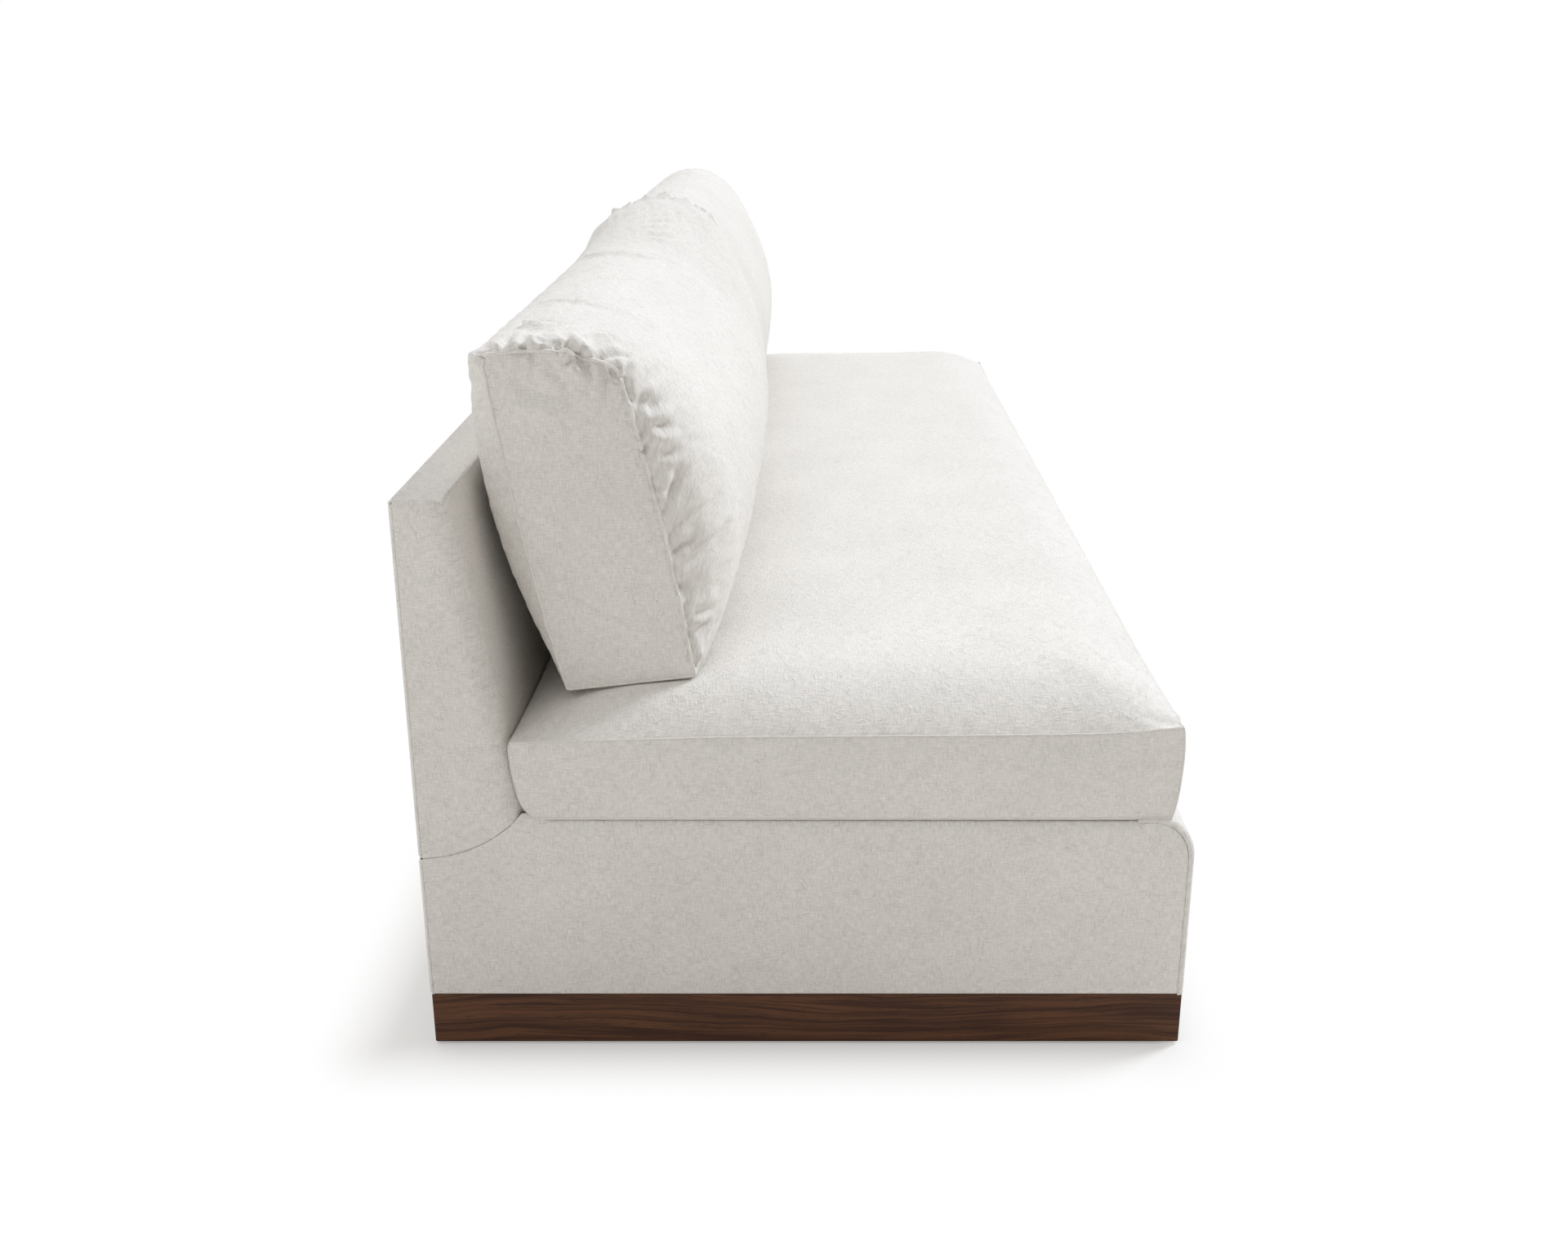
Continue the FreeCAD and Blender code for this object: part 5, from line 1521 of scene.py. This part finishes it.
NEAR_FOLDS = (
    Fold(((-0.270, 0.356, 0.870), (-0.282, 0.348, 0.877), (-0.353, 0.306, 0.889), (-0.358, 0.270, 0.889),
          (-0.334, 0.238, 0.883), (-0.324, 0.210, 0.871), (-0.320, 0.186, 0.857), (-0.311, 0.165, 0.841)),
         0.0045, 0.008, 0.8),
    Fold(((-0.734, 0.339, 0.879), (-0.775, 0.303, 0.887), (-0.787, 0.272, 0.886), (-0.794, 0.246, 0.880),
          (-0.799, 0.223, 0.870), (-0.806, 0.199, 0.857), (-0.802, 0.183, 0.845)), 0.0045, 0.007, 0.8),
    Fold(((-0.917, 0.348, 0.877), (-0.903, 0.332, 0.883), (-0.921, 0.304, 0.886), (-0.923, 0.277, 0.885),
          (-0.926, 0.255, 0.881)), 0.005, 0.008, 0.9),
    Fold(((-0.606, 0.317, 0.885), (-0.604, 0.286, 0.887), (-0.588, 0.260, 0.884), (-0.577, 0.239, 0.878)),
         0.0028, 0.007),
    Fold(((-0.488, 0.325, 0.884), (-0.506, 0.296, 0.888), (-0.512, 0.275, 0.887)), 0.002, 0.007),
    Fold(((-0.929, 0.255, 0.881), (-0.934, 0.228, 0.871), (-0.949, 0.213, 0.862), (-0.940, 0.196, 0.852)),
         0.004, 0.007, 0.9),
    Fold(((-0.427, 0.279, 0.889), (-0.385, 0.257, 0.887), (-0.377, 0.230, 0.879), (-0.380, 0.209, 0.869)),
         0.002, 0.007),
    Fold(((-0.234, 0.280, 0.900), (-0.215, 0.249, 0.901), (-0.202, 0.221, 0.896), (-0.199, 0.202, 0.888)),
         0.003, 0.008),
    Fold(((-0.178, 0.283, 0.912), (-0.148, 0.244, 0.916), (-0.132, 0.211, 0.910)), 0.003, 0.008),
    Fold(((-0.324, 0.210, 0.871), (-0.358, 0.176, 0.848), (-0.385, 0.150, 0.824), (-0.432, 0.127, 0.797)),
         0.002, 0.008),
    Fold(((-0.799, 0.223, 0.870), (-0.769, 0.203, 0.859), (-0.784, 0.179, 0.842), (-0.820, 0.165, 0.828)),
         0.002, 0.006),
    Fold(((-0.995, 0.346, 0.829), (-0.997, 0.310, 0.818), (-0.997, 0.279, 0.817), (-0.997, 0.259, 0.810),
          (-0.997, 0.241, 0.804)), 0.0022, 0.011, 0.9),
    Fold(((-0.995, 0.296, 0.847), (-0.996, 0.278, 0.834), (-0.996, 0.258, 0.821)), 0.0016, 0.006),
    Fold(((-0.996, 0.326, 0.674), (-0.997, 0.310, 0.660), (-0.998, 0.293, 0.642), (-0.998, 0.277, 0.622),
          (-0.998, 0.266, 0.606)), 0.0012, 0.005, 0.9),
    Fold(((-0.996, 0.306, 0.592), (-0.998, 0.279, 0.577), (-0.998, 0.251, 0.560), (-0.998, 0.224, 0.546),
          (-0.997, 0.198, 0.531), (-0.996, 0.178, 0.521)), 0.0012, 0.005, 0.9),
    Fold(((-0.995, 0.289, 0.487), (-0.995, 0.264, 0.483), (-0.996, 0.234, 0.487), (-0.996, 0.211, 0.493)),
         0.0018, 0.007),
    Fold(((-0.996, 0.333, 0.712), (-0.997, 0.319, 0.708), (-0.998, 0.302, 0.700)), 0.0012, 0.005),
    Fold(((-0.972, 0.143, 0.718), (-0.981, 0.155, 0.703), (-0.989, 0.167, 0.683)), 0.003, 0.005),
    Fold(((-0.916, 0.091, 0.649), (-0.939, 0.100, 0.636), (-0.967, 0.118, 0.621), (-0.982, 0.140, 0.611),
          (-0.991, 0.154, 0.606)), 0.0045, 0.007, 0.8),
    Fold(((-0.957, 0.113, 0.532), (-0.977, 0.127, 0.524), (-0.993, 0.141, 0.512)), 0.004, 0.006, 0.9),
    Fold(((-0.950, 0.108, 0.546), (-0.970, 0.120, 0.543), (-0.991, 0.143, 0.543)), 0.003, 0.006),
    Fold(((-0.974, 0.130, 0.639), (-0.984, 0.147, 0.632), (-0.992, 0.161, 0.632)), 0.003, 0.006),
    Fold(((-0.987, 0.195, 0.806), (-0.976, 0.178, 0.798), (-0.947, 0.160, 0.802)), 0.004, 0.007, 0.9),
    Fold(((-0.984, 0.181, 0.778), (-0.976, 0.168, 0.773), (-0.957, 0.151, 0.777)), 0.005, 0.007, 0.9),
    Fold(((-0.968, 0.143, 0.735), (-0.977, 0.151, 0.716), (-0.985, 0.159, 0.693)), 0.0025, 0.006),
    Fold(((-0.986, 0.174, 0.738), (-0.977, 0.159, 0.741), (-0.964, 0.143, 0.748)), 0.003, 0.006),
    Fold(((-0.985, 0.197, 0.821), (-0.967, 0.183, 0.825), (-0.918, 0.172, 0.831)), 0.003, 0.006),
)


def flowing(places: np.ndarray, known: np.ndarray, table: np.ndarray) -> np.ndarray:
    """Read a table of sizes between its rows without overshoot.

    Args:
        places: Where to read. known: Where the rows are.
        table: Rows of sizes.
    Returns:
        One row for each place.
    """
    steps = np.diff(known)[:, None]
    slopes = np.diff(table, axis=0) / steps
    turn = slopes[:-1] * slopes[1:]
    steady = np.where(turn > 0, 2 * turn / np.where(turn > 0, slopes[:-1] + slopes[1:], 1.0), 0.0)
    lean = np.concatenate([slopes[:1], steady, slopes[-1:]])
    at = np.clip(np.searchsorted(known, places, side="right") - 1, 0, len(known) - 2)
    span = steps[at]
    t = (places[:, None] - known[at][:, None]) / span
    return ((1 + 2 * t) * (1 - t) ** 2 * table[at] + t * (1 - t) ** 2 * span * lean[at]
            + t ** 2 * (3 - 2 * t) * table[at + 1] + t ** 2 * (t - 1) * span * lean[at + 1])


@dataclass
class BackCushion:
    """A plump loose back cushion with end panels and corded seams."""

    side: Side
    stations: tuple[Station, ...]
    outer: float = 0.993
    inner: float = 0.004
    wide: int = 40
    high: int = 70
    cell: float = 0.010
    bulge: float = 0.006
    cord: float = 0.0022
    crease_depth: float = 1.6
    fill: float = 0.6
    filling: Filling = Filling()
    folds: tuple[Fold, ...] = ()
    gathers: tuple[Gathers, Gathers] = (Gathers(3), Gathers(8))

    def build(self) -> None:
        """Make, fill and dress the cushion."""
        sewn = self.casing()
        self.filling.swell(sewn, *self.slack(sewn), seed=5 + self.side.value)
        sewn.refine()
        self.crease(sewn)
        open_placket(sewn, f"{self.side.word}_back_cushion_zip", 2, -1)
        body = Body.LEFT_CUSHION if self.side is Side.LEFT else Body.RIGHT_CUSHION
        word = f"{self.side.word}_back_cushion"
        cords = self.cords(sewn)
        dress(sewn.piece, Finish.CUSHION_LINEN, body, [f"{word}_cover", f"{word}_filling"])
        for cord in cords:
            dress(cord, Finish.CORD_LINEN, body)

    def crease(self, sewn: Sewn) -> None:
        """Press the gathers of both ends and the placed creases into the cloth.

        Args:
            sewn: The filled casing.
        """
        tree, places = sewn.surface(), sewn.read()
        folds = [replace(fold, line=tuple(tuple(tree.find_nearest(Vector(point))[0]) for point in fold.line),
                         depth=fold.depth * self.crease_depth) for fold in self.folds]
        for gathers, row, inward in ((self.gathers[0], 0, 1), (self.gathers[1], -1, -1)):
            seam = places[sewn.grids[0][row][:-1]]
            folds += gathers.folds(tree, seam, inward, self.wide, self.high)
        press_folds(sewn, folds)

    def slack(self, sewn: Sewn) -> tuple[np.ndarray, np.ndarray]:
        """Where extra cloth is gathered, and where the casing keeps its place.

        Args:
            sewn: The casing.
        Returns:
            Ease and hold of every vertex.
        """
        places = sewn.read()
        inward = np.minimum(np.abs(places[:, 0]) - self.inner, self.outer - np.abs(places[:, 0]))
        height = eased((places[:, 2] - 0.50) / 0.3)
        ease = np.exp(-inward / 0.05) * (0.35 + 0.65 * height)
        hold = np.full(len(places), 0.04)
        foot = places[:, 2] < 0.475
        hold[foot] = 0.7
        body = sewn.grids[0]
        hold[body[0]] = hold[body[-1]] = 0.9
        for panel in sewn.grids[1:]:
            inner = panel[1:-1, 1:-1].ravel()
            ease[inner] = 0.12
            hold[inner] = 0.08
        return ease, hold

    def cords(self, sewn: Sewn) -> list[bpy.types.Object]:
        """Corded seams round both end panels.

        Args:
            sewn: The filled casing.
        Returns:
            The cords.
        """
        places = sewn.read()
        made = []
        for word, row in (("near", 0), ("far", -1)):
            loop = places[sewn.grids[0][row][:-1]]
            line = resample(np.concatenate([loop, loop[:1]]), np.linspace(0, 1, 401))[:-1]
            made.append(tube(f"{self.side.word}_cushion_{word}_cord", line, self.cord, True))
        return made

    def casing(self) -> Sewn:
        """The closed casing before it is filled.

        Returns:
            The casing.
        """
        places = spacing(self.outer - self.inner, self.cell, FINE_GATHER)
        known = np.array([station.place for station in self.stations])
        table = np.array([station.numbers() for station in self.stations])
        rings = np.array([self.ring(row) for row in flowing(places, known, table)])
        xs = self.side.value * (self.outer + places * (self.inner - self.outer))
        if xs[0] > xs[-1]:
            xs, rings = xs[::-1], rings[::-1]
        share_w, share_h = (np.linspace(0, 1, count + 1) for count in (self.wide, self.high))
        return closed_casing(f"{self.side.word}_plump_cushion", xs, rings, share_w, share_h, self.bulge)

    def ring(self, row: np.ndarray) -> np.ndarray:
        """One cross-section.

        Args:
            row: Corner places, bows and rounding.
        Returns:
            Points as depth and height.
        """
        corners = row[:8].reshape(4, 2)
        bows = (0.0, row[8], row[9], row[10])
        counts = (self.wide, self.high, self.wide, self.high)
        sides = []
        for number, (bow, count) in enumerate(zip(bows, counts)):
            start, end = corners[number], corners[(number + 1) % 4]
            share = np.arange(count)[:, None] / count
            chord = end - start
            out = np.array([chord[1], -chord[0]]) / np.linalg.norm(chord)
            sides.append(start + share * chord + out * bow * 4 * share * (1 - share))
        sharp = np.concatenate(sides)
        soft, softer = sharp, sharp
        for turn in range(26):
            softer = 0.25 * np.roll(softer, 1, 0) + 0.5 * softer + 0.25 * np.roll(softer, -1, 0)
            soft = softer if turn == 4 else soft
        top_share = eased((sharp[:, 1] - 0.52) / 0.12)[:, None]
        return sharp + row[11] * (soft + top_share * (softer - soft) - sharp)


@dataclass
class DustCloth:
    """The dark cloth stretched under the base."""

    node: str = "dust_cover"
    sag: float = 0.002
    cells: tuple[int, int] = (60, 26)

    def build(self) -> None:
        """Make and dress the cloth."""
        low, high = (np.array(corner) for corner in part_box(self.node))
        across, along = (np.linspace(low[axis], high[axis], self.cells[axis] + 1) for axis in (0, 1))
        x, y = np.meshgrid(across, along)
        share_x, share_y = (x - low[0]) / (high - low)[0], (y - low[1]) / (high - low)[1]
        drop = self.sag * (16 * share_x * (1 - share_x) * share_y * (1 - share_y)) ** 0.5
        z = 0.5 * (low[2] + high[2]) - drop
        cloth = sew("dust_cloth", [Patch(np.stack([x, y, z], -1), np.stack([x, y], -1))], Vector((0, 0, -1)))
        dress(cloth.piece, Finish.UNDERLAY, Body.FRAME, [self.node])


@dataclass
class InnerFrame:
    """Hidden timber, springs and fixings, shown as packed."""

    finishes: tuple[tuple[str, Finish], ...] = (
        ("timber", Finish.TIMBER),
        ("spring_steel", Finish.STEEL),
        ("fixings", Finish.FIXINGS),
        ("zip_tape", Finish.ZIP_TAPE),
        ("zip_metal", Finish.ZIP_METAL),
        ("glide", Finish.GLIDE),
    )

    def dress(self) -> None:
        """Give every shown node its finish by its slot."""
        finishes = dict(self.finishes)
        for name, item in sorted(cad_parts.items()):
            if item.hide_render:
                continue
            slot = item.data.materials[0].name.split(".")[0]
            for number in range(len(item.data.materials)):
                item.data.materials[number] = finishes[slot].material()
            LOG.info("%s: kept as packed in %s", name, finishes[slot].value.name)


@dataclass
class Studio:
    """Camera, pale floor and soft light."""

    lens: float = 33.62
    shift: tuple[float, float] = (-0.015625, -0.0771)
    tilt: float = 16.9
    place: tuple[float, float, float] = (-2.618, -0.002, 1.184)
    sky: float = 0.275
    sky_tint: Colour = (1.0, 0.93, 0.85)
    lamps: tuple[tuple[str, float, float, tuple[float, float, float], Colour], ...] = (
        ("key_lamp", 2.52, 16.0, (0.38, -0.68, 0.66), (0.86, 0.92, 1.0)),
        ("overhead_lamp", 1.64, 90.0, (-0.03, 0.45, 0.88), (0.90, 0.945, 1.0)),
    )
    lamp_distance: float = 4.0
    floor_radius: float = 40.0
    floor_tint: Colour = (0.88, 0.857, 0.82)
    shadow_centre: tuple[float, float, float] = (0.0, 0.04, 0.0)
    shadow_half: tuple[float, float, float] = (1.063, 0.476, 0.0)
    fade: tuple[float, float] = (-0.06, 0.11)

    def build(self) -> None:
        """Set up everything round the settee."""
        self.place_camera()
        self.lay_floor()
        self.light_world()
        self.hang_lamps()
        bpy.context.scene.view_settings.view_transform = "Standard"

    def place_camera(self) -> None:
        """Stand the camera at the near end, looking along the settee."""
        data = bpy.data.cameras.new("photo_camera")
        data.lens = self.lens
        data.sensor_width = 36.0
        data.shift_x, data.shift_y = self.shift
        camera = stand("photo_camera", data)
        camera.location = self.place
        camera.rotation_euler = (math.radians(90.0 - self.tilt), 0.0, math.radians(-90.0))
        bpy.context.scene.camera = camera

    def lay_floor(self) -> None:
        """A wide pale floor whose soft shadow fades to the white of the backdrop."""
        soft = bmesh.new()
        bmesh.ops.create_circle(soft, cap_ends=True, radius=self.floor_radius, segments=96)
        mesh = bpy.data.meshes.new("studio_floor")
        soft.to_mesh(mesh)
        soft.free()
        floor = stand("studio_floor", mesh)
        material, wires, shader = start_material("studio_floor")
        shader.inputs["Base Color"].default_value = shade(self.floor_tint, 1.0)
        shader.inputs["Roughness"].default_value = 0.9
        shader.inputs["Specular IOR Level"].default_value = 0.1
        place = wires.add("ShaderNodeTexCoord").outputs["Object"]
        off = wires.vector("ABSOLUTE", wires.vector("SUBTRACT", place, self.shadow_centre))
        outside = wires.vector("MAXIMUM", wires.vector("SUBTRACT", off, self.shadow_half), (0.0, 0.0, 0.0))
        away = wires.add("ShaderNodeVectorMath", {0: outside}, operation="LENGTH").outputs["Value"]
        white = wires.add("ShaderNodeEmission", {"Color": WHITE, "Strength": 1.0})
        share = wires.math("MULTIPLY", wires.fit(away, *self.fade), wires.looked_at())
        mix = wires.add("ShaderNodeMixShader", {0: share, 1: shader.outputs[0], 2: white.outputs[0]})
        wires.link(mix.outputs[0], material.node_tree.nodes["Material Output"].inputs["Surface"])
        mesh.materials.append(material)

    def light_world(self) -> None:
        """White to look at, softer as a light."""
        world = bpy.data.worlds.new("studio_world")
        world.use_nodes = True
        bpy.context.scene.world = world
        wires = Wiring(world.node_tree)
        lit = world.node_tree.nodes["Background"]
        lit.inputs["Color"].default_value = shade(self.sky_tint, 1.0)
        lit.inputs["Strength"].default_value = self.sky
        white = wires.add("ShaderNodeBackground", {"Color": WHITE, "Strength": 1.0})
        mix = wires.add("ShaderNodeMixShader", {0: wires.looked_at(), 1: lit.outputs[0], 2: white.outputs[0]})
        wires.link(mix.outputs[0], world.node_tree.nodes["World Output"].inputs["Surface"])

    def hang_lamps(self) -> None:
        """A soft key from above the front and the far end, and a wide light overhead."""
        for name, power, spread, source, tint in self.lamps:
            data = bpy.data.lights.new(name, "SUN")
            data.energy = power
            data.angle = math.radians(spread)
            data.color = tint
            lamp = stand(name, data)
            lamp.location = Vector(source) * self.lamp_distance
            lamp.rotation_euler = (-Vector(source)).to_track_quat("-Z", "Y").to_euler()


def main() -> None:
    """Build the settee round its frame, then the studio."""
    logging.basicConfig(level=logging.INFO, format="%(message)s")
    Plinth().build()
    Upholstery().build()
    SeatCushion().build()
    BackCushion(Side.LEFT, NEAR_STATIONS, folds=NEAR_FOLDS).build()
    far_gathers = (Gathers(14, strength=0.6), Gathers(17, strength=0.3))
    BackCushion(Side.RIGHT, FAR_STATIONS, gathers=far_gathers).build()
    DustCloth().build()
    InnerFrame().dress()
    Studio().build()


if __name__ == "__main__":
    main()
